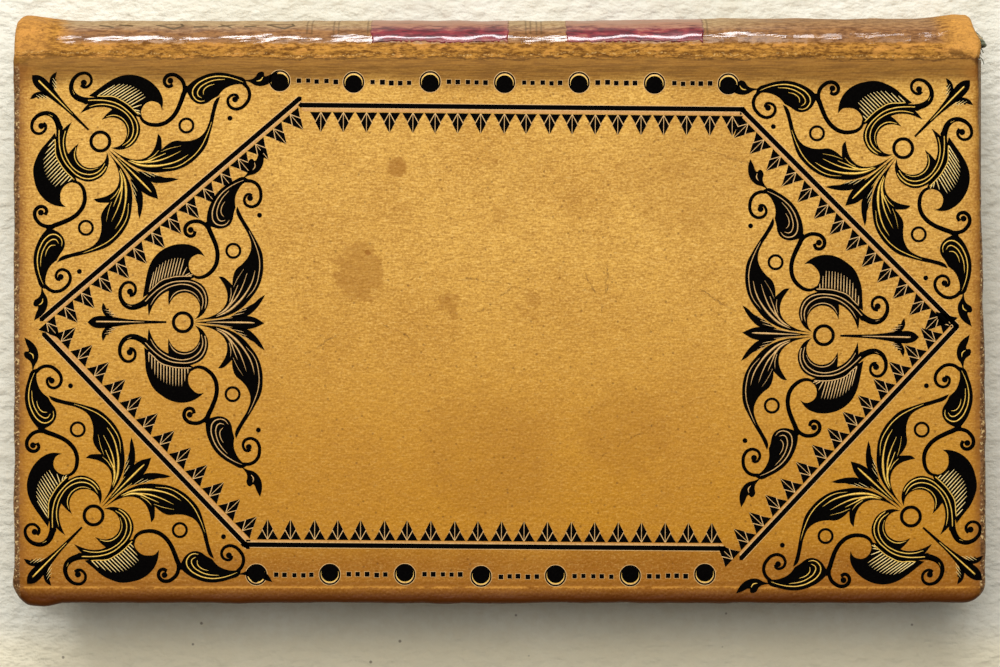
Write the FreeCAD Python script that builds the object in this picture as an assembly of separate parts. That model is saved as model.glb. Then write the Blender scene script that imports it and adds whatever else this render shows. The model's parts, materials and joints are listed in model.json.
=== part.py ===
"""Small leather-bound book, tooled all over its front cover, lying shut on its back cover.

Frame: X runs along the spine, +Y points to the spine, +Z up. The origin is the middle of the book's
box, on the surface that the book lies on. All sizes are in millimetres.
"""

import FreeCAD, Part
import math
import os

from FreeCAD import Vector

# ---- driving dimensions ----------------------------------------------------------------------

# leaves
leaf_height = 163.6          # along the spine
leaf_width = 92.2            # from the joint to the fore edge
leaf_stack = 18.4            # all the leaves pressed together
fore_hollow = 2.4            # how far the fore edge is hollowed
endpaper_thickness = 0.2     # pastedowns and free endpapers

# boards and leather
board_thickness = 2.2
square = 3.0                 # how far a board stands out past the leaves
board_corner_radius = 3.2
board_edge_round = 0.45
leather_thickness = 0.8
leather_edge_round = 1.15    # worn outer edge of a cover
turn_in_width = 11.0
turn_in_thickness = 0.4      # pared thin where it is pasted inside the board
joint_gap = 0.3              # board's back edge to the joint line

# spine
shoulder_slope = 18.0        # degrees, where the spine leaves the joint
shoulder_run = 3.2           # length of that slope
spine_round = 5.0            # tight rounding between slope and back
spine_bulge = 7.5            # joint line to the middle of the back
lining_thickness = 0.3
shoulder_gap = 0.2           # joint line to the leaves' backed shoulder
cap_flare = 1.1              # how far the headcaps stand out past the back
cap_flare_length = 6.0
cap_wall = 1.6
cap_depth = 3.6              # how far a headcap reaches over its endband
cap_round = 1.3
endband_gap = 0.2            # endband to headcap, and endband to the leather beside it
endband_round = 0.4          # share of the endband's size that its free edges are rounded by

# sewing
cord_diameter = 1.6
cord_count = 5
cord_end_margin = 21.8       # leaves' ends to the outermost cords
kerf_gap = 0.1
slip_length = 14.0
slip_root_width = 2.4
slip_end_width = 9.0
slip_thickness = 0.35
slip_gap = 0.1               # room round a slip in its recess

# spine labels
label_thickness = 0.15
label_length = 24.2          # along the spine
label_middles = (-10.6, 23.8)
label_shoulder = 3.9         # joint line to a label's edge

# tooling on the front cover
foil_thickness = 0.06
stamp_length = 31.5          # scroll stamp, from its dart's tip to its leaf's tip
stamp_facet = 0.08           # how far a straight step may leave a tool's smooth outline
frame_line_width = 0.78
frame_end_margin = 3.7       # cover's ends to the border's two end points
frame_spine_margin = 8.2     # joint line to the border's run beside the spine
frame_fore_margin = 9.8      # fore edge to the border's run beside it
frame_shift = 0.7            # the border was set this far towards the head
frame_point_rise = 0.7       # its end points lie this far above its middle
frame_spine_run = 78.2       # straight run beside the spine
frame_spine_shift = 3.8
frame_fore_run = 85.0        # straight run beside the fore edge
frame_fore_shift = -2.3
tooth_pitch = 4.0
tooth_height = 3.0
tooth_foot = 3.4
tooth_neck = 1.5             # width of a tooth's middle point where it leaves the foot
tooth_neck_height = 1.5
tooth_gap = 0.75             # border line to the foot of the teeth
tooth_corner_clear = 2.4     # bare length at each end of a run of teeth
bead_radius = 1.72
bead_pitch = 13.2
bead_count = 7
bead_spine_margin = 4.1      # joint line to the middle of the beads beside it
bead_spine_shift = 0.8
bead_fore_margin = 5.1       # fore edge to the middle of the beads beside it
bead_fore_shift = -3.3
dot_size = 0.74              # small squares between the beads
dot_pitch = 1.6
dot_count = 5
corner_scroll_insets = (     # ring's middle from the cover's end, and from the joint or fore edge
    ("tail_spine", 15.1, 14.6, -44.5),
    ("head_spine", 14.4, 15.8, -134.8),
    ("tail_fore_edge", 13.9, 15.4, 45.4),
    ("head_fore_edge", 13.0, 15.2, 137.9),
)
side_scroll_insets = (       # ring's middle from the cover's end, and above the long diagonal
    ("tail", 29.7, 0.0, -0.3),
    ("head", 28.4, -2.3, 178.5),
)

# ---- lengths that follow from them -----------------------------------------------------------

cover_length = leaf_height + 2 * (square + leather_thickness)
cover_width = leaf_width + square + leather_thickness
inside_stack = leaf_stack + 4 * endpaper_thickness
book_height = inside_stack + 2 * (board_thickness + leather_thickness)
book_depth = cover_width + spine_bulge + cap_flare
half_height = book_height / 2
fore_edge_y = -book_depth / 2
joint_y = fore_edge_y + cover_width
leaf_edge_y = joint_y - leaf_width
endband_size = square + leather_thickness - cap_wall - endband_gap


# ---- the spine's curve -----------------------------------------------------------------------

def spine_edges(inset, bulge=spine_bulge):
    """The spine's section in the YZ plane, from the upper joint round to the lower one."""
    slope = math.radians(shoulder_slope)
    away = (math.sin(slope), math.cos(slope))
    turn = (
        shoulder_run * math.cos(slope) - spine_round * away[0],
        half_height - shoulder_run * math.sin(slope) - spine_round * away[1],
    )
    short = turn[0] - bulge
    back_round = (spine_round**2 - short**2 - turn[1] ** 2) / (2 * (short + spine_round))
    back = (bulge - back_round, 0.0)
    reach = math.hypot(turn[0] - back[0], turn[1])
    lean = ((turn[0] - back[0]) / reach, turn[1] / reach)
    radius = spine_round - inset

    def place(y, z):
        return Vector(0, joint_y + y, half_height + z)

    def on_turn(direction):
        return turn[0] + radius * direction[0], turn[1] + radius * direction[1]

    half = math.hypot(away[0] + lean[0], away[1] + lean[1])
    between = ((away[0] + lean[0]) / half, (away[1] + lean[1]) / half)
    start = (0.0, half_height - inset / math.cos(slope))
    first = on_turn(away)
    middle = on_turn(between)
    last = on_turn(lean)
    tip = (bulge - inset, 0.0)
    return [
        Part.makeLine(place(*start), place(*first)),
        Part.Arc(place(*first), place(*middle), place(*last)).toShape(),
        Part.Arc(place(*last), place(*tip), place(last[0], -last[1])).toShape(),
        Part.Arc(
            place(last[0], -last[1]), place(middle[0], -middle[1]), place(first[0], -first[1])
        ).toShape(),
        Part.makeLine(place(first[0], -first[1]), place(start[0], -start[1])),
    ]


def ends(edges):
    """First and last point of a run of edges given in order."""
    wire = Part.Wire(edges)
    points = wire.OrderedVertexes
    return points[0].Point, points[-1].Point


def spine_band(outer_inset, inner_inset, bulge=spine_bulge):
    """Closed outline between two insets of the spine's curve."""
    outer = spine_edges(outer_inset, bulge)
    inner = spine_edges(inner_inset, bulge)
    outer_start, outer_end = ends(outer)
    inner_start, inner_end = ends(inner)
    closing = [Part.makeLine(outer_end, inner_end), Part.makeLine(inner_start, outer_start)]
    return Part.Wire(Part.__sortEdges__(outer + inner + closing))


def spine_strip(outer_inset, inner_inset, x_start, length, bulge=spine_bulge):
    """Solid of even thickness that follows the spine's curve for a length along X."""
    face = Part.Face(spine_band(outer_inset, inner_inset, bulge))
    face.translate(Vector(x_start, 0, 0))
    return face.extrude(Vector(length, 0, 0))


def past_joint(shape, distance):
    """The part of a shape that lies more than a distance past the joint line."""
    reach = spine_bulge + cap_flare + label_thickness
    beyond = Part.makeBox(cover_length, reach, book_height)
    beyond.translate(Vector(-cover_length / 2, joint_y + distance, 0))
    return shape.common(beyond)


# ---- leaves and sewing -----------------------------------------------------------------------

def cord_middles():
    first = cord_end_margin - leaf_height / 2
    pitch = -2 * first / (cord_count - 1)
    return [first + pitch * number for number in range(cord_count)]


def leaf_slab():
    """The flat part of the leaves, with its hollow fore edge."""
    back_y = joint_y + shoulder_gap
    low = half_height - leaf_stack / 2
    high = half_height + leaf_stack / 2
    low_edge = Vector(0, leaf_edge_y, low)
    high_edge = Vector(0, leaf_edge_y, high)
    hollow = Part.Arc(high_edge, Vector(0, leaf_edge_y + fore_hollow, half_height), low_edge)
    rest = Part.makePolygon([low_edge, Vector(0, back_y, low), Vector(0, back_y, high), high_edge])
    face = Part.Face(Part.Wire([hollow.toShape(), *rest.Edges]))
    return face.extrude(Vector(leaf_height, 0, 0))


def leaf_back():
    """The leaves' folds, rounded and backed to stand out behind the boards as shoulders."""
    edges = spine_edges(leather_thickness + lining_thickness)
    start, end = ends(edges)
    face = Part.Face(Part.Wire([*edges, Part.makeLine(end, start)]))
    return face.extrude(Vector(leaf_height, 0, 0))


def text_block():
    """All the leaves as one block, with a kerf sawn in its back for each cord."""
    slab = leaf_slab()
    slab.translate(Vector(-leaf_height / 2, 0, 0))
    back = leaf_back()
    back.translate(Vector(-leaf_height / 2, 0, 0))
    block = slab.fuse(past_joint(back, shoulder_gap)).removeSplitter()
    kerf_size = cord_diameter + 2 * kerf_gap
    skin = leather_thickness + lining_thickness
    for x in cord_middles():
        block = block.cut(spine_strip(skin, skin + kerf_size, x - kerf_size / 2, kerf_size))
    return block


def sewing_cord(x):
    """Round cord laid in its kerf over the back of the leaves."""
    skin = leather_thickness + lining_thickness + kerf_gap
    path = Part.Wire(spine_edges(skin + cord_diameter / 2))
    start = path.OrderedVertexes[0].Point
    slope = math.radians(shoulder_slope)
    along = Vector(0, math.cos(slope), -math.sin(slope))
    circle = Part.makeCircle(cord_diameter / 2, start, along)
    cord = path.makePipeShell([Part.Wire(circle)], True, False)
    cord = past_joint(cord, shoulder_gap)
    cord.translate(Vector(x, 0, 0))
    return cord


def spine_lining():
    """Paper and glue between the leaves' back and the leather."""
    inner = leather_thickness + lining_thickness
    strip = spine_strip(leather_thickness, inner, -leaf_height / 2, leaf_height)
    return past_joint(strip, shoulder_gap)


def endband(side):
    """Wound band on the end of the leaves, under the headcap, at the head (1) or the tail (-1)."""
    outer = leather_thickness + endband_gap
    x_start = leaf_height / 2 if side > 0 else -leaf_height / 2 - endband_size
    band = spine_strip(outer, outer + endband_size, x_start, endband_size)
    band = past_joint(band, shoulder_gap)
    free_x = side * (leaf_height / 2 + endband_size)
    rim = [edge for edge in band.Edges if abs(edge.CenterOfMass.x - free_x) < endband_size / 100]
    long_rim = [edge for edge in rim if edge.Length > endband_size * 1.01]
    return band.makeFillet(endband_size * endband_round, long_rim)


def free_endpaper(over_leaves):
    sheet = Part.makeBox(leaf_height, leaf_width, endpaper_thickness)
    z = half_height + leaf_stack / 2
    if not over_leaves:
        z = half_height - leaf_stack / 2 - endpaper_thickness
    sheet.translate(Vector(-leaf_height / 2, leaf_edge_y, z))
    return sheet


# ---- covers ----------------------------------------------------------------------------------

def rounded_plate(margin, thickness, radius, back_y):
    """Flat plate with its two fore-edge corners rounded, its fore edge a margin inside the cover."""
    length = cover_length - 2 * margin
    front_y = fore_edge_y + margin
    plate = Part.makeBox(length, back_y - front_y, thickness)
    plate.translate(Vector(-length / 2, front_y, 0))
    corners = [
        edge
        for edge in plate.Edges
        if abs(edge.CenterOfMass.y - front_y) < radius / 100
        and abs(edge.CenterOfMass.z - thickness / 2) < thickness / 100
        and abs(edge.Vertexes[0].X - edge.Vertexes[-1].X) < radius / 100
    ]
    return plate.makeFillet(radius, corners)


def round_rim(plate, z, back_y, radius):
    """Round a plate's rim at one height, but not along its back edge."""
    rim = [
        edge
        for edge in plate.Edges
        if abs(edge.CenterOfMass.z - z) < radius / 100
        and abs(edge.CenterOfMass.y - back_y) > radius / 100
    ]
    return plate.makeFillet(radius, rim)


def slip_shape(x, extra, thickness):
    """Frayed end of a cord, fanned out from the joint over the board."""
    root_y = joint_y - joint_gap + extra
    tip_y = joint_y - joint_gap - slip_length - extra
    root = slip_root_width / 2 + extra
    tip = slip_end_width / 2 + extra
    corners = [
        Vector(x - root, root_y, 0),
        Vector(x - tip, tip_y, 0),
        Vector(x + tip, tip_y, 0),
        Vector(x + root, root_y, 0),
    ]
    face = Part.Face(Part.makePolygon(corners + corners[:1]))
    return face.extrude(Vector(0, 0, thickness))


def board_blank(back_y):
    """Pasteboard, outer face up, with shallow recesses for the turn-ins on its inner face."""
    plate = rounded_plate(leather_thickness, board_thickness, board_corner_radius, back_y)
    plate = round_rim(plate, board_thickness, back_y, board_edge_round)
    rim = Part.makeBox(cover_length, cover_width, turn_in_thickness)
    rim.translate(Vector(-cover_length / 2, fore_edge_y, 0))
    edge = leather_thickness + turn_in_width
    inside = Part.makeBox(cover_length - 2 * edge, cover_width - edge, turn_in_thickness)
    inside.translate(Vector(edge - cover_length / 2, fore_edge_y + edge, 0))
    return plate.cut(rim.cut(inside))


def board():
    """A board with a shallow recess for the end of each cord."""
    blank = board_blank(joint_y - joint_gap)
    for x in cord_middles():
        recess = slip_shape(x, slip_gap, slip_thickness)
        recess.translate(Vector(0, 0, board_thickness - slip_thickness))
        blank = blank.cut(recess)
    return blank


def cover_leather():
    """Leather over a board's face and round its three open edges, with its turn-ins inside."""
    thickness = board_thickness + leather_thickness
    radius = board_corner_radius + leather_thickness
    skin = rounded_plate(0, thickness, radius, joint_y)
    skin = round_rim(skin, thickness, joint_y, leather_edge_round)
    skin = round_rim(skin, 0, joint_y, turn_in_thickness)
    return skin.cut(board_blank(joint_y))


def pastedown():
    """Endpaper pasted inside a board, over the turn-ins."""
    sheet = Part.makeBox(leaf_height, leaf_width - joint_gap, endpaper_thickness)
    sheet.translate(Vector(-leaf_height / 2, leaf_edge_y, -endpaper_thickness))
    return sheet


def cord_slips():
    """The cords' frayed ends in their recesses, one solid for each cord."""
    slips = []
    for x in cord_middles():
        slip = slip_shape(x, 0, slip_thickness)
        slip.translate(Vector(0, 0, board_thickness - slip_thickness))
        slips.append(slip)
    return Part.makeCompound(slips)


def as_front(shape):
    """Lift a cover piece, modelled outer face up from its inner face, to the top of the book."""
    lifted = shape.copy()
    lifted.translate(Vector(0, 0, half_height + inside_stack / 2))
    return lifted


def as_back(shape):
    """Turn a cover piece over for the bottom of the book."""
    turned = shape.mirror(Vector(0, 0, 0), Vector(0, 0, 1))
    turned.translate(Vector(0, 0, half_height - inside_stack / 2))
    return turned


# ---- leather over the spine ------------------------------------------------------------------

def cap_sections(side):
    """Outlines of the leather from the plain spine out to the flared end, at the head or tail."""
    sections = []
    for share in (1.0, 0.6, 0.25, 0.0):
        bulge = spine_bulge + cap_flare * (1 - share) ** 2
        outline = spine_band(0, leather_thickness, bulge)
        outline.translate(Vector(side * (cover_length / 2 - share * cap_flare_length), 0, 0))
        sections.append(outline)
    return sections


def headcap(side):
    """End of the spine leather, flared and folded in over the endband."""
    flare = Part.makeLoft(cap_sections(side), True, True)
    bulge = spine_bulge + cap_flare
    lip_start = cover_length / 2 - cap_wall if side > 0 else -cover_length / 2
    lip = spine_strip(leather_thickness / 2, cap_depth, lip_start, cap_wall, bulge)
    return flare.fuse(lip)


def spine_leather():
    """Leather over the rounded back, from one joint to the other, with a headcap at each end."""
    plain_length = cover_length - 2 * cap_flare_length
    skin = spine_strip(0, leather_thickness, -plain_length / 2, plain_length)
    for side in (1, -1):
        skin = skin.fuse(headcap(side))
    skin = skin.removeSplitter()
    rim = [edge for edge in skin.Edges if on_cap_rim(edge)]
    return skin.makeFillet(cap_round, rim)


def on_cap_rim(edge):
    """Whether an edge runs round the outside of a headcap's end, clear of the joints."""
    middle = edge.valueAt((edge.FirstParameter + edge.LastParameter) / 2)
    at_end = abs(abs(middle.x) - cover_length / 2) < cap_wall / 100
    ends_level = abs(edge.Vertexes[0].X - edge.Vertexes[-1].X) < cap_wall / 100
    return at_end and ends_level and middle.y > joint_y + spine_bulge - cap_depth + cap_flare


def spine_label(middle):
    """Thin red leather patch pasted over the back."""
    patch = spine_strip(-label_thickness, 0, middle - label_length / 2, label_length)
    return past_joint(patch, label_shoulder)


# ---- tooling on the front cover --------------------------------------------------------------

def foil(outline, hole=None):
    """Thin patch of tooling from a closed outline drawn at height zero."""
    face = Part.Face(outline)
    if hole:
        face = face.cut(Part.Face(hole))
    patch = face.extrude(Vector(0, 0, foil_thickness))
    return patch


def on_cover(shape):
    """Lay tooling on the front cover's leather."""
    laid = shape.copy()
    laid.translate(Vector(0, 0, book_height))
    return laid


def polygon(corners):
    places = [Vector(x, y, 0) for x, y in corners]
    return Part.makePolygon(places + places[:1])


def circle(x, y, radius):
    """A round outline in as many straight steps as keep it within the tooling's facet."""
    steps = math.ceil(math.pi / math.acos(1 - stamp_facet / radius))
    turns = [2 * math.pi * step / steps for step in range(steps)]
    return polygon([(x + radius * math.cos(t), y + radius * math.sin(t)) for t in turns])


def border_corners():
    """The border's six corners, clockwise from the tail end of its long diagonal."""
    top = joint_y - frame_spine_margin
    bottom = fore_edge_y + frame_fore_margin
    half_length = cover_length / 2 - frame_end_margin
    return [
        (frame_shift - half_length, diagonal_y()),
        (frame_spine_shift - frame_spine_run / 2, top),
        (frame_spine_shift + frame_spine_run / 2, top),
        (frame_shift + half_length, diagonal_y()),
        (frame_fore_shift + frame_fore_run / 2, bottom),
        (frame_fore_shift - frame_fore_run / 2, bottom),
    ]


def diagonal_y():
    top = joint_y - frame_spine_margin
    bottom = fore_edge_y + frame_fore_margin
    return (top + bottom) / 2 + frame_point_rise


def frame_line():
    """Six-sided border, one line wide."""
    outer = polygon(border_corners())
    return on_cover(foil(outer, outer.makeOffset2D(-frame_line_width, 2)))


def tooth():
    """One tooth: a tall point on a wider foot that lies along X, pointing to +Y."""
    foot = tooth_foot / 2
    neck = tooth_neck / 2
    corners = [(-foot, 0), (foot, 0), (neck, tooth_neck_height), (0, tooth_height)]
    corners.append((-neck, tooth_neck_height))
    return foil(polygon(corners))


def frame_teeth():
    """A row of teeth along the inside of each of the border's six sides."""
    corners = [Vector(x, y, 0) for x, y in border_corners()]
    teeth = []
    for start, end in zip(corners, corners[1:] + corners[:1]):
        run = end - start
        free = run.Length - 2 * tooth_corner_clear
        count = int(free / tooth_pitch)
        along = run.normalize()
        inward = Vector(along.y, -along.x, 0)
        first = (free - tooth_pitch * (count - 1)) / 2 + tooth_corner_clear
        angle = math.degrees(math.atan2(inward.y, inward.x)) - 90
        for number in range(count):
            foot = start + along * (first + tooth_pitch * number)
            foot = foot + inward * (frame_line_width + tooth_gap)
            piece = tooth()
            piece.rotate(Vector(0, 0, 0), Vector(0, 0, 1), angle)
            piece.translate(foot)
            teeth.append(piece)
    return on_cover(Part.makeCompound(teeth))


def bead_row(middle, y):
    """Round beads with small squares between each two."""
    pieces = []
    first = middle - bead_pitch * (bead_count - 1) / 2
    for number in range(bead_count):
        pieces.append(foil(circle(first + bead_pitch * number, y, bead_radius)))
    first_dot = first + (bead_pitch - dot_pitch * (dot_count - 1)) / 2
    for number in range(bead_count - 1):
        start = first_dot + bead_pitch * number
        for place in range(dot_count):
            dot = Part.makeBox(dot_size, dot_size, foil_thickness)
            x = start + dot_pitch * place - dot_size / 2
            dot.translate(Vector(x, y - dot_size / 2, 0))
            pieces.append(dot)
    return on_cover(Part.makeCompound(pieces))


# The scroll stamp, drawn from the middle of its ring: x towards its leaf, y out to one side. Each
# shape is a list of smooth runs. A run starts at a sharp tip and ends where the next one starts.
# The drawing is brought to the stamp's length when it is cut.
STAMP_DART = [
    [(-17.1, 0.0), (-15.9, 0.9), (-14.6, 1.15), (-12.6, 1.0), (-10.4, 0.5), (-6.0, 0.2)],
    [(-2.9, 0.1)],
    [(-2.9, -0.1), (-6.0, -0.2), (-10.4, -0.5), (-12.6, -1.0), (-14.6, -1.15), (-15.9, -0.9)],
]
STAMP_MIDDLE_LEAF = [
    [(2.3, 0.0), (5.5, 0.6), (9.0, 1.2), (11.6, 1.3), (13.4, 0.7)],
    [(14.4, 0.0), (13.4, -0.7), (11.6, -1.3), (9.0, -1.2), (5.5, -0.6)],
]
STAMP_BARB = [
    [(-14.1, 3.2), (-14.6, 2.0)],
    [(-13.9, 1.0)],
    [(-10.4, 0.4), (-12.4, 1.8)],
]
STAMP_SIDE_LEAF = [
    [(8.1, 1.3), (10.1, 1.1), (11.9, 1.4), (13.3, 2.6)],
    [(14.6, 4.9), (13.0, 4.1), (10.4, 2.2)],
]
STAMP_BAND = [
    [
        (2.1, 0.5), (3.3, 1.2), (4.1, 2.3), (4.5, 3.6), (4.3, 5.1), (3.5, 6.5), (2.2, 7.3),
        (0.7, 7.7), (-1.0, 7.6), (-2.7, 7.2), (-4.2, 6.5), (-5.5, 5.5), (-6.6, 4.4), (-7.6, 3.5),
        (-9.0, 3.1), (-10.2, 3.6), (-10.8, 4.8), (-10.6, 6.1), (-9.8, 6.8), (-8.9, 6.6),
    ],
    [(-8.6, 5.9), (-9.3, 6.0), (-9.9, 5.6), (-9.9, 4.9), (-9.3, 4.6)],
    [
        (-8.6, 4.8), (-8.1, 5.7), (-8.5, 6.8), (-9.8, 7.3), (-10.9, 6.6), (-11.4, 5.1),
        (-11.1, 3.6), (-10.2, 2.5), (-8.9, 2.1), (-7.8, 2.3), (-7.0, 2.7),
    ],
    [(-6.2, 3.2), (-6.1, 2.2)],
    [(-6.0, 1.1), (-5.6, 2.2), (-5.0, 3.4), (-4.0, 4.6), (-3.0, 5.3)],
    [(-2.5, 5.5), (-2.6, 4.2)],
    [
        (-2.5, 2.9), (-2.0, 3.9), (-1.1, 4.8), (0.1, 5.2), (1.1, 5.1), (2.2, 4.4), (2.8, 3.5),
        (3.0, 2.3), (2.7, 1.3),
    ],
]
STAMP_COMMA = [
    [
        (-6.6, 4.6), (-6.5, 6.5), (-6.0, 9.2), (-4.9, 11.4), (-3.1, 13.1), (-1.1, 14.0),
        (0.6, 14.2), (2.4, 13.6),
    ],
    [(3.8, 12.4), (2.8, 12.5), (1.9, 11.9), (1.1, 10.7), (1.0, 9.6), (1.5, 8.5)],
    [(2.4, 7.4), (-0.7, 7.5), (-4.2, 6.3)],
]
STAMP_STEM = [
    [
        (1.2, 7.6), (3.0, 7.7), (4.8, 8.4), (6.0, 9.8), (6.4, 11.8), (6.0, 14.0), (5.3, 16.2),
        (4.1, 17.6), (2.5, 18.1), (0.9, 17.6), (0.1, 16.3), (0.5, 15.3),
    ],
    [(1.6, 15.2), (1.0, 16.3), (1.4, 17.1), (2.6, 17.4), (3.9, 16.9), (4.8, 15.8), (5.6, 13.8),
     (5.9, 11.8), (5.6, 10.1), (4.6, 8.9), (3.0, 8.3)],
]
STAMP_VOLUTE = [
    [(4.6, 16.9), (6.1, 16.6), (7.5, 16.8), (8.5, 17.6), (8.9, 19.0), (9.0, 20.7), (9.4, 22.4)],
    [(10.2, 23.9), (11.3, 24.6), (12.6, 24.4), (13.5, 23.2), (13.6, 21.8), (13.0, 20.7),
     (11.9, 20.4), (10.9, 20.9)],
    [(11.3, 22.2), (11.0, 22.8), (10.3, 22.0), (10.3, 20.8), (11.5, 19.9), (13.1, 20.1),
     (14.0, 21.6), (13.9, 23.5), (12.9, 24.8)],
    [(11.8, 25.4), (8.6, 25.0), (6.8, 23.9), (5.2, 22.1), (4.4, 20.2), (4.3, 18.4)],
]
STAMP_BUD = [
    [(10.8, 25.1), (12.8, 26.0), (13.9, 27.3), (14.2, 29.0)],
    [(13.9, 30.8), (13.0, 29.9), (12.3, 28.8), (11.3, 28.2), (11.6, 26.7)],
]
STAMP_ARM = [
    [
        (2.3, 0.0), (4.1, 0.4), (6.8, 1.3), (9.2, 2.6), (11.4, 4.3), (13.1, 6.5), (14.0, 8.7),
        (14.2, 10.9), (13.7, 13.1), (12.5, 15.4), (11.2, 17.6),
    ],
    [(9.5, 20.6), (10.4, 18.0), (11.6, 15.4), (12.1, 12.7), (11.6, 10.7), (10.2, 9.4), (9.1, 8.1)],
    [(8.7, 6.3), (8.2, 7.3)],
    [(6.4, 8.3), (7.4, 6.9), (7.8, 5.2), (7.4, 3.4), (6.4, 1.9), (4.8, 0.9)],
]
STAMP_CENTRE = (STAMP_DART, STAMP_MIDDLE_LEAF)
STAMP_HALVES = (
    STAMP_BARB, STAMP_SIDE_LEAF, STAMP_BAND, STAMP_COMMA, STAMP_STEM, STAMP_VOLUTE, STAMP_BUD,
    STAMP_ARM,
)
STAMP_RING_RADIUS = 1.9
STAMP_RING_HOLE = 1.4
STAMP_DROP = (8.8, 12.6)
STAMP_DROP_RADIUS = 1.37
STAMP_DROP_HOLE = 1.06
STAMP_DOT = (13.4, 18.9)
STAMP_DOT_RADIUS = 0.42


def sized(outline):
    """A drawn outline brought to the size that the stamp is cut."""
    drawn_length = STAMP_MIDDLE_LEAF[1][0][0] - STAMP_DART[0][0][0]
    return outline.scaled(stamp_length / drawn_length)


def stamped(runs, turn=1):
    """One shape of the stamp from its smooth runs; a turn of -1 gives its other side."""
    outline = []
    for run, following in zip(runs, runs[1:] + runs[:1]):
        curve = Part.BSplineCurve()
        curve.interpolate([Vector(x, turn * y, 0) for x, y in [*run, following[0]]])
        outline.extend(curve.discretize(Deflection=stamp_facet)[:-1])
    return foil(sized(Part.makePolygon([*outline, outline[0]])))


def scroll_stamp():
    """Two scrolled arms about a ring, with a dart behind it and a three-part leaf before it."""
    pieces = [stamped(shape) for shape in STAMP_CENTRE]
    ring = sized(circle(0, 0, STAMP_RING_RADIUS))
    pieces.append(foil(ring, sized(circle(0, 0, STAMP_RING_HOLE))))
    for turn in (1, -1):
        pieces.extend(stamped(shape, turn) for shape in STAMP_HALVES)
        x, y = STAMP_DROP
        hole = sized(circle(x, turn * y, STAMP_DROP_HOLE))
        pieces.append(foil(sized(circle(x, turn * y, STAMP_DROP_RADIUS)), hole))
        x, y = STAMP_DOT
        pieces.append(foil(sized(circle(x, turn * y, STAMP_DOT_RADIUS))))
    whole = pieces[0].multiFuse(pieces[1:]).removeSplitter()
    return Part.makeCompound(whole.Solids)


def scroll_places():
    """Name, middle and angle of each of the six impressions of the stamp."""
    places = []
    half_length = cover_length / 2
    for name, end_inset, edge_inset, angle in corner_scroll_insets:
        x = half_length - end_inset if name.startswith("head") else end_inset - half_length
        y = joint_y - edge_inset if name.endswith("spine") else fore_edge_y + edge_inset
        places.append((f"corner_scroll_{name}", x, y, angle))
    for name, end_inset, rise, angle in side_scroll_insets:
        x = half_length - end_inset if name.startswith("head") else end_inset - half_length
        places.append((f"side_scroll_{name}", x, diagonal_y() + rise, angle))
    return places


def cover_flat():
    """The flat of the cover, inside its rounded edges, where a tool can mark the leather."""
    radius = board_corner_radius + leather_thickness
    corner = max(radius - leather_edge_round, leather_edge_round)
    return rounded_plate(leather_edge_round, foil_thickness, corner, joint_y)


def scrolls(border):
    """The same stamp worked in each corner and at each end of the long diagonal, up to the border."""
    stamp = scroll_stamp()
    flat = on_cover(cover_flat()).cut(border)
    worked = {}
    for name, x, y, angle in scroll_places():
        impression = on_cover(stamp)
        impression.rotate(Vector(0, 0, 0), Vector(0, 0, 1), angle)
        impression.translate(Vector(x, y, 0))
        worked[name] = Part.makeCompound(impression.common(flat).Solids)
    return worked


# ---- the whole book --------------------------------------------------------------------------

def build():
    pieces = {
        "text_block": text_block(),
        "spine_lining": spine_lining(),
        "front_free_endpaper": free_endpaper(True),
        "back_free_endpaper": free_endpaper(False),
        "head_endband": endband(1),
        "tail_endband": endband(-1),
        "spine_leather": spine_leather(),
    }
    for number, x in enumerate(cord_middles(), 1):
        pieces[f"sewing_cord_{number}"] = sewing_cord(x)
    for name, middle in zip(("spine_label_tail", "spine_label_head"), label_middles):
        pieces[name] = spine_label(middle)
    for name, place in (("front", as_front), ("back", as_back)):
        pieces[f"{name}_board"] = place(board())
        pieces[f"{name}_leather"] = place(cover_leather())
        pieces[f"{name}_pastedown"] = place(pastedown())
        pieces[f"{name}_cord_slips"] = place(cord_slips())
    border = {
        "frame_line": frame_line(),
        "frame_teeth": frame_teeth(),
        "bead_row_spine": bead_row(bead_spine_shift, joint_y - bead_spine_margin),
        "bead_row_fore_edge": bead_row(bead_fore_shift, fore_edge_y + bead_fore_margin),
    }
    pieces.update(border)
    pieces.update(scrolls(list(border.values())))
    return pieces


os.makedirs("parts", exist_ok=True)
for node, shape in build().items():
    shape.exportStep(f"parts/{node}.step")
    print(f"{node}: {len(shape.Solids)} solid(s), {shape.Volume:.1f} mm3, valid {shape.isValid()}")
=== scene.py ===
import json
import math
import random

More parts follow.
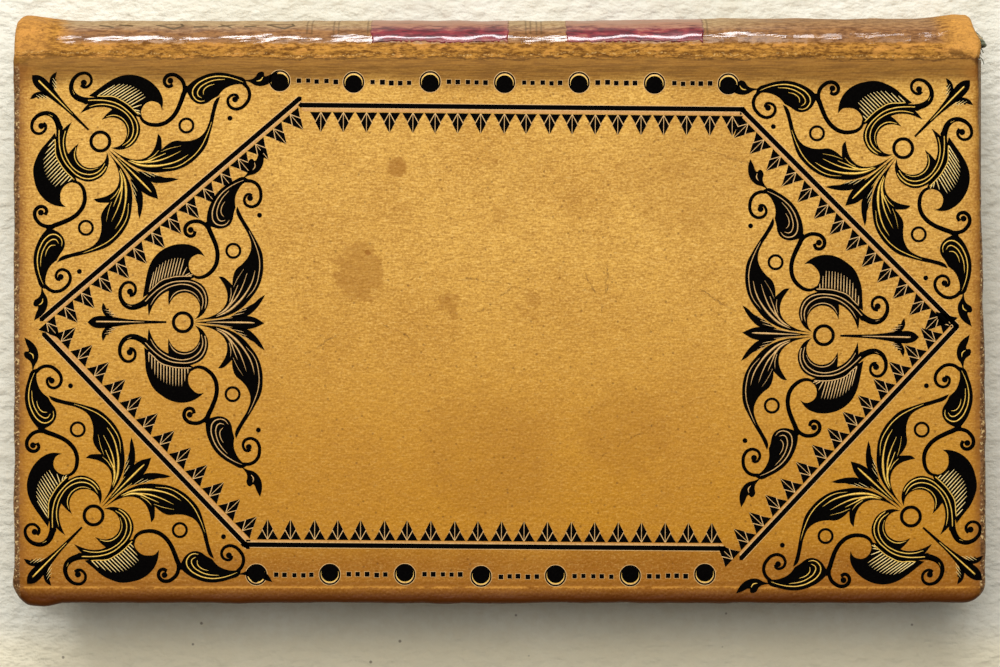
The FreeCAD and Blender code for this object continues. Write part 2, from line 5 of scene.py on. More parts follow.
import bmesh
import bpy
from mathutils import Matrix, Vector


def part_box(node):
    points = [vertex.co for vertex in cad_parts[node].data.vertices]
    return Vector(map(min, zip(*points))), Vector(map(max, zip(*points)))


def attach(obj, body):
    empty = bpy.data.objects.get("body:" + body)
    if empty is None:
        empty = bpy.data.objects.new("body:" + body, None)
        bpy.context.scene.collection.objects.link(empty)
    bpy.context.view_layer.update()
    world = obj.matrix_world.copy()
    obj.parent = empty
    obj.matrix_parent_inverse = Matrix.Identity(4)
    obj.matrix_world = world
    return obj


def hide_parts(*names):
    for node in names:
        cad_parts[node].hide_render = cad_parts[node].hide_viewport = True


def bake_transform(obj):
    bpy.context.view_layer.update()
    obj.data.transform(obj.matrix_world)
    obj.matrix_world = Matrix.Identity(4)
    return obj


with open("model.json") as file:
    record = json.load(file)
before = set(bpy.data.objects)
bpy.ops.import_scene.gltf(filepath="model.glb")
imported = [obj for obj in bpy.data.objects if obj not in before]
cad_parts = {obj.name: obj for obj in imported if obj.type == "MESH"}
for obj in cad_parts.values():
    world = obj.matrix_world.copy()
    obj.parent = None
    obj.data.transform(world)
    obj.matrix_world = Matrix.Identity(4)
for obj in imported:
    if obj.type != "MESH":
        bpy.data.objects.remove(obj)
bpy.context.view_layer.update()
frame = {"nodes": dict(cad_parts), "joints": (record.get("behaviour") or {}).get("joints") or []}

mm = 0.001

# ---- leaves ----------------------------------------------------------------------------------
# The leaves are rag paper, sewn in gatherings, pressed into one block and cut on three edges.
# They have browned towards their edges and no longer lie quite level with each other.


def connect(node, sockets):
    """Give each named socket of a shader node a value or another node's output."""
    for name, value in sockets.items():
        if isinstance(value, bpy.types.NodeSocket):
            node.id_data.links.new(value, node.inputs[name])
        else:
            node.inputs[name].default_value = value


def put(kind, sockets, **settings):
    """A shader node with its settings, in the tree that its inputs come from."""
    tree = next(value.id_data for value in sockets.values() if isinstance(value, bpy.types.NodeSocket))
    node = tree.nodes.new("ShaderNode" + kind)
    for name, value in settings.items():
        setattr(node, name, value)
    connect(node, sockets)
    return node


def tone(red, green, blue):
    """A colour chosen on a 0 to 255 scale, as the shader wants it."""
    return [*((c / 255 / 12.92 if c < 11 else ((c / 255 + 0.055) / 1.055) ** 2.4)
              for c in (red, green, blue)), 1.0]


def ramp(value, start, end, low=0.0, high=1.0):
    """A value eased from low to high while the input goes from start to end."""
    sockets = {"Value": value, "From Min": start, "From Max": end, "To Min": low, "To Max": high}
    return put("MapRange", sockets, interpolation_type="SMOOTHSTEP").outputs[0]


def blended(share, under, over):
    return put("Mix", {0: share, 6: under, 7: over}, data_type="RGBA", blend_type="MIX").outputs[2]


def painted(ground, *layers):
    """A ground colour with others laid over it in turn, each given as share, red, green and blue."""
    colour = tone(*ground) if isinstance(ground, tuple) else ground
    for share, *shade in layers:
        colour = blended(share, colour, tone(*shade))
    return colour


def vectors(operation, first, second, output=0):
    """Vector arithmetic, where sums, further down, does the same for plain values."""
    return put("VectorMath", {0: first, 1: second}, operation=operation).outputs[output]


def clouds(place, scale, detail=3.0, roughness=0.5, stretch=(1, 1, 1)):
    """Cloudy noise between about 0.25 and 0.75; scale is in features for each millimetre."""
    spread = vectors("MULTIPLY", place, stretch)
    sockets = {"Vector": spread, "Scale": scale, "Detail": detail, "Roughness": roughness}
    return put("TexNoise", sockets).outputs[0]


def scaled(vector, scale):
    return put("VectorMath", {0: vector, "Scale": scale}, operation="SCALE").outputs[0]


def new_finish(name, follows=None):
    """An empty material with its surface shader, and the place of each point in millimetres.

    On a piece that bends, the place follows a mark that the mesh keeps of how it lay when shut."""
    material = bpy.data.materials.new(name)
    material.use_nodes = True
    nodes = material.node_tree.nodes
    if follows:
        mark = nodes.new("ShaderNodeAttribute")
        mark.attribute_name = follows
        here = mark.outputs["Vector"]
    else:
        here = nodes.new("ShaderNodeTexCoord").outputs["Object"]
    return material, nodes["Principled BSDF"], scaled(here, 1 / mm)


def dress(surface, height, depth, **sockets):
    """Feed a surface's sockets, and raise it by a height between 0 and 1 times a depth in mm."""
    bump = put("Bump", {"Height": height, "Distance": depth * mm, "Strength": 1.0})
    connect(surface, {"Normal": bump.outputs[0]})
    connect(surface, {name.replace("_", " "): value for name, value in sockets.items()})


def paper_finish(name, middle, edge, layered):
    """Old rag paper; where it is layered, the edges of the leaves show as fine uneven lines, with
    painted shade in the sunk gaps between them.
    """
    material, surface, place = new_finish(name)
    blotches = clouds(place, 0.06, 5.0, 0.6)
    fibres = clouds(place, 1.4, 4.0, 0.7)
    colour = painted(middle, (ramp(blotches, 0.35, 0.7), *edge),
                     (ramp(fibres, 0.3, 0.7, 0.0, 0.25), 120, 92, 56))
    height = fibres
    if layered:
        height = clouds(place, 0.9, 4.0, 0.75, (0.02, 0.02, 9.0))
        dirt = clouds(place, 0.5, 3.0, 0.6, (0.05, 0.05, 5.0))
        # painted shade in the sunk gaps between the leaves' edges, and dirt over them
        colour = painted(colour, (ramp(height, 0.62, 0.40, 0.0, 0.65), 104, 76, 44),
                         (ramp(dirt, 0.5, 0.75, 0.0, 0.6), 92, 66, 40))
    dress(surface, height, 0.12 if layered else 0.02, Base_Color=colour, Roughness=0.85)
    return material


def pick(piece, kind, rule):
    """In edit mode, select only the vertices, edges or faces whose corners suit a rule."""
    bpy.ops.mesh.select_mode(type=kind)
    bpy.ops.mesh.select_all(action="DESELECT")
    mesh = bmesh.from_edit_mesh(piece.data)
    for element in {"VERT": mesh.verts, "EDGE": mesh.edges, "FACE": mesh.faces}[kind]:
        corners = [element.co] if kind == "VERT" else [vert.co for vert in element.verts]
        if rule(corners):
            element.select_set(True)
    mesh.select_flush_mode()
    bmesh.update_edit_mesh(piece.data)


def slice_all(start, end, step, direction):
    """Cut everything in edit mode across by evenly spaced planes."""
    count = round((end - start) / step)
    for number in range(count + 1):
        place = Vector(direction) * (start + (end - start) * number / count)
        bpy.ops.mesh.select_all(action="SELECT")
        bpy.ops.mesh.bisect(plane_co=place, plane_no=direction)


def only(*pieces):
    """Select these pieces and no others; the first is the active one."""
    bpy.ops.object.select_all(action="DESELECT")
    for piece in pieces:
        piece.select_set(True)
    bpy.context.view_layer.objects.active = pieces[0]


def copy_of_node(node, name):
    """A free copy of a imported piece, with its loose triangles merged into one skin."""
    piece = frame["nodes"][node].copy()
    piece.data = piece.data.copy()
    piece.name = name
    piece.parent = None
    for key in list(piece.keys()):
        del piece[key]
    bpy.context.collection.objects.link(piece)
    only(piece)
    bpy.ops.object.mode_set(mode="EDIT")
    bpy.ops.mesh.select_all(action="SELECT")
    bpy.ops.mesh.remove_doubles(threshold=0.001 * mm)
    bpy.ops.mesh.dissolve_limited(angle_limit=math.radians(1))
    bpy.ops.object.mode_set(mode="OBJECT")
    return piece


def face_outward():
    """Turn every face of the piece in edit mode outwards."""
    bpy.ops.mesh.select_all(action="SELECT")
    bpy.ops.mesh.normals_make_consistent(inside=False)


def finish_with(piece, *materials):
    piece.data.materials.clear()
    for material in materials:
        piece.data.materials.append(material)


leaf_low, leaf_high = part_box("text_block")
shoulder_y = frame["joints"][0]["pos_m"][1]
leaf_step = 0.38 * mm
leaf_unevenness = 0.14 * mm
wave_length, wave_width = 9.5 * mm, 9.0 * mm     # how far apart the leaves' edges stand out or in
uncut_margin = 7 * mm

leaves = copy_of_node("text_block", "leaves")
bpy.ops.object.mode_set(mode="EDIT")
slice_all(leaf_low.z + leaf_step, leaf_high.z - leaf_step, leaf_step, (0, 0, 1))
slice_all(leaf_low.x + uncut_margin, leaf_high.x - uncut_margin, wave_length, (1, 0, 0))
slice_all(leaf_low.y + uncut_margin, shoulder_y - uncut_margin, wave_width, (0, 1, 0))
pick(leaves, "VERT", lambda c: c[0].y < shoulder_y - 1 * mm
     and leaf_low.z + 0.1 * mm < c[0].z < leaf_high.z - 0.1 * mm)
bpy.ops.transform.vertex_random(offset=leaf_unevenness, uniform=0.0, normal=1.0, seed=4)
bpy.ops.object.mode_set(mode="OBJECT")
bpy.ops.object.shade_flat()
finish_with(leaves, paper_finish("rag paper edges", (214, 190, 142), (190, 158, 104), True))
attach(leaves, "book_block")
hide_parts("text_block")

# ---- sewing cords and spine lining -----------------------------------------------------------
# Five hemp cords lie in kerfs sawn in the back of the leaves. Their frayed ends are let into the
# boards. Waste paper and glue line the back under the leather. All of it is out of sight.


def twisted(place, scale, distortion):
    """The slanting plies of a cord or thread."""
    sockets = {"Vector": place, "Scale": scale, "Distortion": distortion}
    return put("TexWave", sockets, bands_direction="DIAGONAL").outputs["Fac"]


hemp, surface, place = new_finish("hemp cord")
plies = twisted(place, 0.9, 1.5)
colour = painted((126, 98, 60), (plies, 196, 168, 118))
dress(surface, plies, 0.1, Base_Color=colour, Roughness=0.9)
for name in [f"sewing_cord_{number}" for number in range(1, 6)] + ["front_cord_slips", "back_cord_slips"]:
    finish_with(frame["nodes"][name], hemp)

finish_with(frame["nodes"]["spine_lining"],
            paper_finish("glued lining paper", (176, 150, 104), (140, 108, 66), False))

# ---- endbands --------------------------------------------------------------------------------
# A thin core lies on each end of the leaves' back, wound with linen thread in two colours. Each
# wrap goes round the core and down into the leaves. At the head the winding has worn through
# beside the front joint, and its threads hang out.

# the spine's section: a slope from each joint, a tight turn, and the round of the back
spine_slope = math.radians(18)
slope_run = 3.2 * mm
shoulder_round = 5.0 * mm
half_height = frame["joints"][0]["pos_m"][2] / 2
label_thickness = 0.15 * mm
back_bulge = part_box("spine_label_head")[1].y - label_thickness - shoulder_y
turn_middle = Vector((0, shoulder_y + slope_run * math.cos(spine_slope)
                      - shoulder_round * math.sin(spine_slope),
                      2 * half_height - slope_run * math.sin(spine_slope)
                      - shoulder_round * math.cos(spine_slope)))
lower_turn = Vector((0, turn_middle.y, 2 * half_height - turn_middle.z))
across = turn_middle.y - shoulder_y
rise = turn_middle.z - half_height
short = across - back_bulge
back_round = (shoulder_round ** 2 - short ** 2 - rise ** 2) / (2 * (short + shoulder_round))
back_middle = Vector((0, shoulder_y + back_bulge - back_round, half_height))
back_lean = math.atan2(turn_middle.y - back_middle.y, turn_middle.z - back_middle.z)


def spine_stations(inset, spacing):
    """Points evenly spaced along the spine at a depth, each with the leather's lean there."""
    arcs = [
        (turn_middle, shoulder_round - inset, spine_slope, back_lean),
        (back_middle, back_round - inset, back_lean, math.pi - back_lean),
        (lower_turn, shoulder_round - inset, math.pi - back_lean, math.pi - spine_slope),
    ]
    stations = []
    for middle, radius, start, end in arcs:
        steps = max(1, round(radius * (end - start) / spacing))
        for number in range(steps):
            lean = start + (end - start) * number / steps
            outward = Vector((0, math.sin(lean), math.cos(lean)))
            stations.append((middle + radius * outward, lean))
    return stations


def join_all(pieces, name):
    """Join finished pieces into the first and name it."""
    only(*pieces)
    bpy.ops.object.join()
    pieces[0].name = name
    return pieces[0]


def settle(piece):
    """Put a finished piece's place, turn and size into its mesh."""
    only(piece)
    bpy.ops.object.transform_apply(location=True, rotation=True, scale=True)


def thread_finish(name, colour):
    material, surface, place = new_finish(name)
    dirt = clouds(place, 0.8, 4.0, 0.6)
    shade = painted(colour, (ramp(dirt, 0.4, 0.7, 0.0, 0.7), 70, 58, 38))
    dress(surface, twisted(place, 2.6, 2.0), 0.05, Base_Color=shade, Roughness=0.75, Sheen_Weight=0.3)
    return material


thread_colours = [thread_finish("green linen thread", (104, 112, 84)),
                  thread_finish("undyed linen thread", (196, 176, 132))]
wrap_inset = 2.0 * mm
wrap_spacing = 0.5 * mm
wrap_radius, thread_radius = 0.70 * mm, 0.27 * mm
loose_wraps = 9              # at the head's front end the band has come loose and bulges out
loose_bulge = 2.3 * mm

for end in ("head", "tail"):
    band_low, band_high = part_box(f"{end}_endband")
    band_x = (band_low.x + band_high.x) / 2
    wraps = []
    for number, (point, lean) in enumerate(spine_stations(wrap_inset, wrap_spacing)):
        slack = max(0.0, 1 - number / loose_wraps) * loose_bulge if end == "head" else 0.0
        bpy.ops.object.select_all(action="DESELECT")
        bpy.ops.mesh.primitive_torus_add(
            major_radius=wrap_radius, minor_radius=thread_radius, major_segments=12, minor_segments=6,
            location=(band_x + slack, point.y, point.z), rotation=(-lean - math.pi / 2, 0, 0))
        wrap = bpy.context.object
        bpy.ops.object.shade_smooth()
        finish_with(wrap, thread_colours[(number // 2) % 2])
        wraps.append(wrap)
    winding = join_all(wraps, f"{end}_endband_winding")
    settle(winding)
    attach(winding, "book_block")
    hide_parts(f"{end}_endband")

strand_count = 11
strand_thickness = 0.08 * mm
strand_root = Vector((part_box("head_endband")[1].x + 0.5 * mm, shoulder_y + 1.6 * mm,
                      2 * half_height - 4.6 * mm))
random.seed(5)


def scatter(*ranges):
    """A vector with each part drawn at random from its range."""
    return Vector([random.uniform(*limits) for limits in ranges])


strands = bpy.data.curves.new("frayed_threads", "CURVE")
strands.dimensions = "3D"
strands.bevel_depth = strand_thickness
strands.bevel_resolution = 1
strands.use_fill_caps = True
for number in range(strand_count):
    strand = strands.splines.new("NURBS")
    strand.points.add(5)
    place = strand_root + Vector((0, random.uniform(-1.2, 1.4) * mm, random.uniform(-0.8, 0.8) * mm))
    heading = scatter((0.35, 0.75), (-0.9, 0.5), (-0.5, 0.3))
    for point in strand.points:
        point.co = (*place, 1.0)
        place = place + heading * random.uniform(0.3, 0.6) * mm
        heading += scatter((-0.3, 0.1), (-0.5, 0.3), (-0.4, 0.2))
    strand.order_u = 3
    strand.use_endpoint_u = True
frayed = bpy.data.objects.new("frayed_endband_threads", strands)
bpy.context.collection.objects.link(frayed)
only(frayed)
bpy.ops.object.convert(target="MESH")
frayed = bpy.context.object
finish_with(frayed, thread_colours[0])
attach(frayed, "book_block")

# ---- boards ----------------------------------------------------------------------------------
# Two boards of grey-brown pasteboard, cut a little larger than the leaves. They are out of sight
# under the leather and the pastedowns.

pasteboard, surface, place = new_finish("pasteboard")
flecks = clouds(place, 1.2, 5.0, 0.7)
colour = painted((132, 110, 80), (ramp(flecks, 0.3, 0.7), 98, 78, 54))
dress(surface, flecks, 0.08, Base_Color=colour, Roughness=0.9)
for name in ("front_board", "back_board"):
    finish_with(frame["nodes"][name], pasteboard)

# ---- leather cover ---------------------------------------------------------------------------
# One tan calf hide covers both boards and the round spine. It is turned in over the boards' edges
# and folded over the endbands as headcaps. The joints have flexed it soft, and its edges are worn.

cover_low, cover_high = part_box("front_leather")
cover_thickness = cover_high.z - cover_low.z
cover_length = cover_high.x - cover_low.x
corner_round = 4.0 * mm
rim_round = 1.15 * mm
turn_in = 11.0 * mm
hide_thickness = 0.45 * mm
grid_step = 5.0 * mm
bruise_size = 1.4 * mm
hair = 0.01 * mm             # a corner this near to a line counts as on it


def level(corners, axis, height):
    """Whether all these corners lie at one height along an axis."""
    return all(abs(corner[axis] - height) < hair for corner in corners)


def wrapped_board(name):
    """A board's leather, outer face up: flat face, rounded rim, sides and turn-ins, open at the joint."""
    bpy.ops.object.select_all(action="DESELECT")
    bpy.ops.mesh.primitive_plane_add(size=1)
    piece = bpy.context.object
    piece.name = name
    piece.scale = (cover_length, cover_high.y - cover_low.y, 1)
    piece.location = (0, (cover_high.y + cover_low.y) / 2, cover_low.z)
    settle(piece)
    bpy.ops.object.mode_set(mode="EDIT")
    pick(piece, "VERT", lambda c: c[0].y < 0)
    bpy.ops.mesh.bevel(offset=corner_round, segments=7, affect="VERTICES")
    bpy.ops.mesh.select_all(action="SELECT")
    bpy.ops.mesh.extrude_region_move(TRANSFORM_OT_translate={"value": (0, 0, cover_thickness)})
    pick(piece, "EDGE", lambda c: level(c, 2, cover_high.z) and not level(c, 1, shoulder_y))
    bpy.ops.mesh.bevel(offset=rim_round, segments=4, affect="EDGES")
    pick(piece, "EDGE", lambda c: level(c, 2, cover_low.z) and not level(c, 1, shoulder_y))
    bpy.ops.mesh.bevel(offset=rim_round / 2, segments=2, affect="EDGES")
    pick(piece, "FACE", lambda c: level(c, 1, shoulder_y))
    bpy.ops.mesh.delete(type="ONLY_FACE")
    for point, facing in (((turn_in - cover_length / 2, 0, 0), (1, 0, 0)),
                          ((cover_length / 2 - turn_in, 0, 0), (1, 0, 0)),
                          ((0, cover_low.y + turn_in, 0), (0, 1, 0))):
        pick(piece, "FACE", lambda c: level(c, 2, cover_low.z))
        bpy.ops.mesh.bisect(plane_co=point, plane_no=facing)
    reach = cover_length / 2 - turn_in + hair
    pick(piece, "FACE", lambda c: level(c, 2, cover_low.z) and all(
        abs(p.x) < reach and p.y > cover_low.y + turn_in - hair for p in c))
    bpy.ops.mesh.delete(type="FACE")
    return piece


def joint_profile(piece):
    """Select the leather's section at the joint: across the face, over the rims and down the sides."""
    pick(piece, "EDGE", lambda c: level(c, 1, shoulder_y) and all(p.z > cover_low.z + hair for p in c)
         and any(p.z > cover_low.z + rim_round / 2 + hair for p in c))


def slice_grid():
    """Cut the leather into a grid that is close at the joint, where it flexes."""
    slice_all(cover_low.x + 6 * mm, cover_high.x - 6 * mm, grid_step, (1, 0, 0))
    slice_all(cover_low.y + 5 * mm, shoulder_y - 5 * mm, grid_step, (0, 1, 0))
    for distance in (-3.2, -1.6, -0.8, 0.0, 0.8, 1.6):
        bpy.ops.mesh.select_all(action="SELECT")
        bpy.ops.mesh.bisect(plane_co=(0, shoulder_y + distance * mm, 0), plane_no=(0, 1, 0))


def apply_modifier(piece, name, kind, **settings):
    modifier = piece.modifiers.new(name, kind)
    for key, value in settings.items():
        setattr(modifier, key, value)
    bpy.context.view_layer.objects.active = piece
    bpy.ops.object.modifier_apply(modifier=name)


def nudge(piece, rule, move, reach, falloff="SMOOTH"):
    """Push the points that suit a rule, and less and less of what is round them, by a move in mm."""
    pick(piece, "VERT", lambda corners: rule(corners[0]))
    bpy.ops.transform.translate(value=Vector(move) * mm, use_proportional_edit=True,
                                proportional_edit_falloff=falloff, proportional_size=reach * mm)


def near(x, y, z):
    """A rule that picks the points close to one place, given in metres."""
    return lambda p: (p - Vector((x, y, z))).length < bruise_size


slope = Vector((0, math.cos(spine_slope), -math.sin(spine_slope)))
slope_end = Vector((0, shoulder_y, 2 * half_height)) + slope * slope_run
lower_slope = Vector((0, -slope.y, slope.z))
seam_share = 0.55            # how much of the lower slope the spine's side of the hide covers
along_spine = (1, 0, 0)

skin = wrapped_board("front_and_spine_leather")
joint_profile(skin)
bpy.ops.mesh.extrude_region_move(TRANSFORM_OT_translate={"value": slope * slope_run})
bpy.ops.transform.rotate(value=spine_slope, orient_axis="X", center_override=slope_end)
for middle, steps, bend in ((turn_middle, 6, back_lean - spine_slope),
                            (back_middle, 7, math.pi - 2 * back_lean),
                            (lower_turn, 5, back_lean - spine_slope)):
    bpy.ops.mesh.spin(steps=steps, angle=bend, center=middle, axis=along_spine)
bpy.ops.mesh.extrude_region_move(TRANSFORM_OT_translate={"value": lower_slope * slope_run * seam_share})
slice_grid()
bpy.ops.object.mode_set(mode="OBJECT")
apply_modifier(skin, "smooth", "SUBSURF", levels=2, render_levels=2)


def weigh(piece, name, rule):
    """A vertex group whose weight at each point is given by a rule."""
    group = piece.vertex_groups.new(name=name)
    for vertex in piece.data.vertices:
        group.add([vertex.index], min(1.0, max(0.0, rule(vertex.co))), "REPLACE")


def swell(piece, name, size, height, group, stretch=(1, 1, 1)):
    """Raise and sink the surface by cloudy noise of a size in millimetres, where a group says."""
    noise = bpy.data.textures.new(name, "CLOUDS")
    noise.noise_scale = size * mm
    noise.noise_depth = 2
    bpy.ops.object.empty_add()
    measure = bpy.context.object
    measure.scale = stretch
    apply_modifier(piece, name, "DISPLACE", texture=noise, strength=height * mm, mid_level=0.5,
                   vertex_group=group, texture_coords="OBJECT", texture_coords_object=measure)
    bpy.data.objects.remove(measure)


def finish_hide(piece):
    """Give the hide its wall, and keep where each point lies while the book is shut, for its grain."""
    apply_modifier(piece, "wall", "SOLIDIFY", thickness=hide_thickness, offset=-1)
    bpy.ops.object.shade_smooth()
    kept = piece.data.attributes.new("rest_place", "FLOAT_VECTOR", "POINT")
    for vertex, value in zip(piece.data.vertices, kept.data):
        value.vector = vertex.co


def edge_looseness(place):
    """How loose the leather is at the cover's rims and joint, against the tooled flat's none."""
    from_rim = min(cover_length / 2 - abs(place.x), place.y - cover_low.y)
    rim = 1 - (from_rim / mm - 1.0) / 1.6
    joint = (place.y - shoulder_y) / mm + 1.6
    return max(rim, joint)


def looseness(place):
    """The front cover's looseness, with the whole of the spine loose as well."""
    return max(edge_looseness(place), 1.0 if place.z < cover_low.z - mm else 0.0)


def crinkling(place):
    """Fine wrinkles everywhere that is loose, but the round of the spine is worn smooth by handling."""
    roundness = (place.y - shoulder_y) / mm - 2.0
    return looseness(place) * (1 - 0.8 * min(1.0, max(0.0, roundness)))


cap_end = cover_length / 2 - 0.6 * mm
bpy.ops.object.mode_set(mode="EDIT")
# the headcaps stand out over the endbands, and the hide's ends have shrunk here and stretched there
for side in (1, -1):
    nudge(skin, lambda p: p.x * side > cap_end and p.y > shoulder_y + 2.5 * mm, (0, 1.0, 0), 10)
nudge(skin, lambda p: p.x < -cap_end and p.y > shoulder_y + 1.2 * mm, (0.15, 0, 0), 2)
nudge(skin, lambda p: p.x > cap_end and abs(p.y - shoulder_y) < 3 * mm, (-1.2, 0, 0), 60, "LINEAR")
nudge(skin, lambda p: p.x > cap_end - 2 * mm and p.y > shoulder_y + 1.8 * mm, (0.5, 0, 0), 3)
nudge(skin, lambda p: p.x > cap_end - mm and p.y > shoulder_y + 6.2 * mm, (-1.2, -0.3, 0), 4.5)
nudge(skin, lambda p: p.x > 44 * mm and p.y > shoulder_y + 5 * mm and p.z > half_height, (0, 0.4, 0), 30)
# the tail's fore corner is bruised, and a shallow groove runs along the joint
nudge(skin, near(-81.0 * mm, cover_low.y, cover_high.z - 1.6 * mm), (-0.4, -0.6, -0.1), 3.4)
nudge(skin, near(-84.4 * mm, cover_low.y + 1.6 * mm, cover_high.z), (-0.4, 0.2, -0.4), 3.4)
nudge(skin, lambda p: abs(p.y - shoulder_y) < 0.3 * mm and p.z > cover_high.z - 0.3 * mm
      and abs(p.x) < cap_end - 2 * mm, (0, 0, -0.4), 1.3)
bpy.ops.object.mode_set(mode="OBJECT")
weigh(skin, "loose", looseness)
swell(skin, "dents", 7.0, 0.5, "loose")
weigh(skin, "crinkled", crinkling)
swell(skin, "wrinkles", 1.6, 0.16, "crinkled", (3.5, 1, 1))
bpy.ops.object.mode_set(mode="EDIT")
face_outward()
bpy.ops.object.mode_set(mode="OBJECT")
finish_hide(skin)

back_skin = wrapped_board("back_leather_skin")
joint_profile(back_skin)
bpy.ops.mesh.extrude_region_move(
    TRANSFORM_OT_translate={"value": slope * slope_run * (1 - seam_share)})
slice_grid()
bpy.ops.mesh.select_all(action="SELECT")
bpy.ops.transform.resize(value=(1, 1, -1), center_override=(0, 0, half_height))
bpy.ops.mesh.normals_make_consistent(inside=False)
nudge(back_skin, lambda p: p.x > cap_end and p.y > shoulder_y - 3 * mm, (-1.1, 0, 0), 60, "LINEAR")
bpy.ops.object.mode_set(mode="OBJECT")
apply_modifier(back_skin, "smooth", "SUBSURF", levels=2, render_levels=2)
# the back cover lies flat on its face; only its rim and joint are uneven
weigh(back_skin, "loose", lambda place: edge_looseness(place) if place.z > 0.4 * mm else 0.0)
swell(back_skin, "back dents", 7.0, 0.4, "loose")
finish_hide(back_skin)


def sums(operation, first, second=0.0, clamp=False):
    return put("Math", {0: first, 1: second}, operation=operation, use_clamp=clamp).outputs[0]


def plus(first, second, clamp=False):
    return sums("ADD", first, second, clamp)


def minus(first, second, clamp=False):
    return sums("SUBTRACT", first, second, clamp)


def times(first, *others):
    for other in others:
        first = sums("MULTIPLY", first, other)
    return first


def largest(first, *others):
    for other in others:
        first = sums("MAXIMUM", first, other)
    return first


def away(value, place=0.0):
    """How far a value lies from a place, to either side."""
    return sums("ABSOLUTE", minus(value, place))


def cells(place, scale):
    """How far each point lies from the nearest of many scattered dots."""
    return put("TexVoronoi", {"Vector": place, "Scale": scale}).outputs["Distance"]


def new_group(name, inputs, outputs):
    """A node group with named sockets; gives the group, its inputs' values and its closing node."""
    group = bpy.data.node_groups.new(name, "ShaderNodeTree")
    for socket, kind in inputs.items():
        group.interface.new_socket(name=socket, in_out="INPUT", socket_type=f"NodeSocket{kind}")
    for socket in outputs:
        group.interface.new_socket(name=socket, in_out="OUTPUT", socket_type="NodeSocketFloat")
    return group, group.nodes.new("NodeGroupInput").outputs, group.nodes.new("NodeGroupOutput")


def use_group(group, **sockets):
    return put("Group", sockets, node_tree=group).outputs


# Calf has a fine pebbled grain with pores, and faint streaks the way the hide was stretched.
calf_grain, given, wanted = new_group(
    "calf grain", {"Place": "Vector"}, ("Mottle", "Streaks", "Speckle", "Pores", "Grain"))
place = given["Place"]
pebbles, pits = cells(place, 1.5), cells(place, 0.55)
connect(wanted, {
    "Mottle": clouds(place, 0.055, 6.0, 0.62),
    "Streaks": clouds(place, 0.8, 4.0, 0.65, (0.5, 1.2, 1.2)),
    "Speckle": clouds(place, 2.5, 4.0, 0.75),
    "Pores": ramp(pits, 0.16, 0.07),
    "Grain": plus(times(ramp(pebbles, 0.7, 0.1), 0.6), times(clouds(place, 3.2, 3.0, 0.6), 0.4))})

# A stain is a soft-edged patch about a middle; the place given to it is already made to wander.
stain, given, wanted = new_group(
    "stain", {"Place": "Vector", "Middle": "Vector", "Radius": "Float"}, ("Mask",))
distance = vectors("DISTANCE", given["Place"], given["Middle"], "Value")
connect(wanted, {"Mask": ramp(sums("DIVIDE", distance, given["Radius"]), 1.1, 0.75)})

# A scratch is a thin line along a run from its start.
scratch, given, wanted = new_group(
    "scratch", {"Place": "Vector", "Start": "Vector", "Run": "Vector", "Width": "Float"}, ("Mask",))
offset = vectors("SUBTRACT", given["Place"], given["Start"])
along = vectors("DOT_PRODUCT", offset, given["Run"], "Value")
run_squared = vectors("DOT_PRODUCT", given["Run"], given["Run"], "Value")
share = sums("DIVIDE", along, run_squared, clamp=True)
nearest = scaled(given["Run"], share)
gap = vectors("DISTANCE", offset, nearest, "Value")
connect(wanted, {"Mask": ramp(sums("DIVIDE", gap, given["Width"]), 1.0, 0.4)})

calf, surface, place = new_finish("tan calf leather", follows="rest_place")
x, y, z = put("SeparateXYZ", {0: place}).outputs
mottle, streaks, speckle, pores, pebbled = use_group(calf_grain, Place=place)
on_front = ramp(z, half_height / mm - 1, half_height / mm + 1)
cover_only = ramp(y, shoulder_y / mm - 0.6, shoulder_y / mm - 2.4)
wavy_y = plus(y, times(minus(mottle, 0.5), 5.0))

# the flat of the cover, paler at the top and deeper towards the fore edge
depth = ramp(wavy_y, 26, -44)
dashes = clouds(place, 2.6, 3.0, 0.7, (0.34, 1.5, 1.5))
calmer = ramp(depth, 0, 1, 1.0, 0.45)
colour = painted(
    (229, 179, 84), (depth, 192, 132, 20),
    (ramp(wavy_y, -39, -46, 0.0, 0.92), 148, 88, 2),
    (ramp(mottle, 0.34, 0.66, 0.0, 0.4), 184, 127, 40),
    (ramp(streaks, 0.6, 0.36, 0.0, 0.2), 160, 108, 36),
    (times(ramp(speckle, 0.57, 0.36), ramp(depth, 0, 1, 0.46, 0.3)), 132, 84, 24),
    (times(ramp(dashes, 0.54, 0.36, 0.0, 0.42), calmer), 140, 90, 26),
    (times(ramp(dashes, 0.54, 0.68, 0.0, 0.3), calmer), 252, 214, 134),
    (times(ramp(speckle, 0.52, 0.68, 0.0, 0.45), calmer), 252, 212, 128),
    (times(pores, 0.45), 96, 58, 20))

# marks of use on the front: a ring stain, a blotch, smudges and scratches
wander = put("TexNoise", {"Vector": place, "Scale": 0.4, "Detail": 4.0, "Roughness": 0.65}).outputs["Color"]
wander = vectors("SUBTRACT", wander, (0.5, 0.5, 0.5))
top_z = 25.2                 # where the cover's face lies, in mm as all the marks are placed
scratch_width = 0.24


def wandered(reach):
    """The place shifted about by the noise, by up to half a reach in millimetres."""
    return vectors("ADD", place, scaled(wander, reach))


def stained(place, middle, radius):
    return use_group(stain, Place=place, Middle=middle, Radius=radius)["Mask"]


def scratched(place, start, run, width):
    return use_group(scratch, Place=place, Start=start, Run=run, Width=width)["Mask"]


ragged, wavy = wandered(11.0), wandered(2.4)
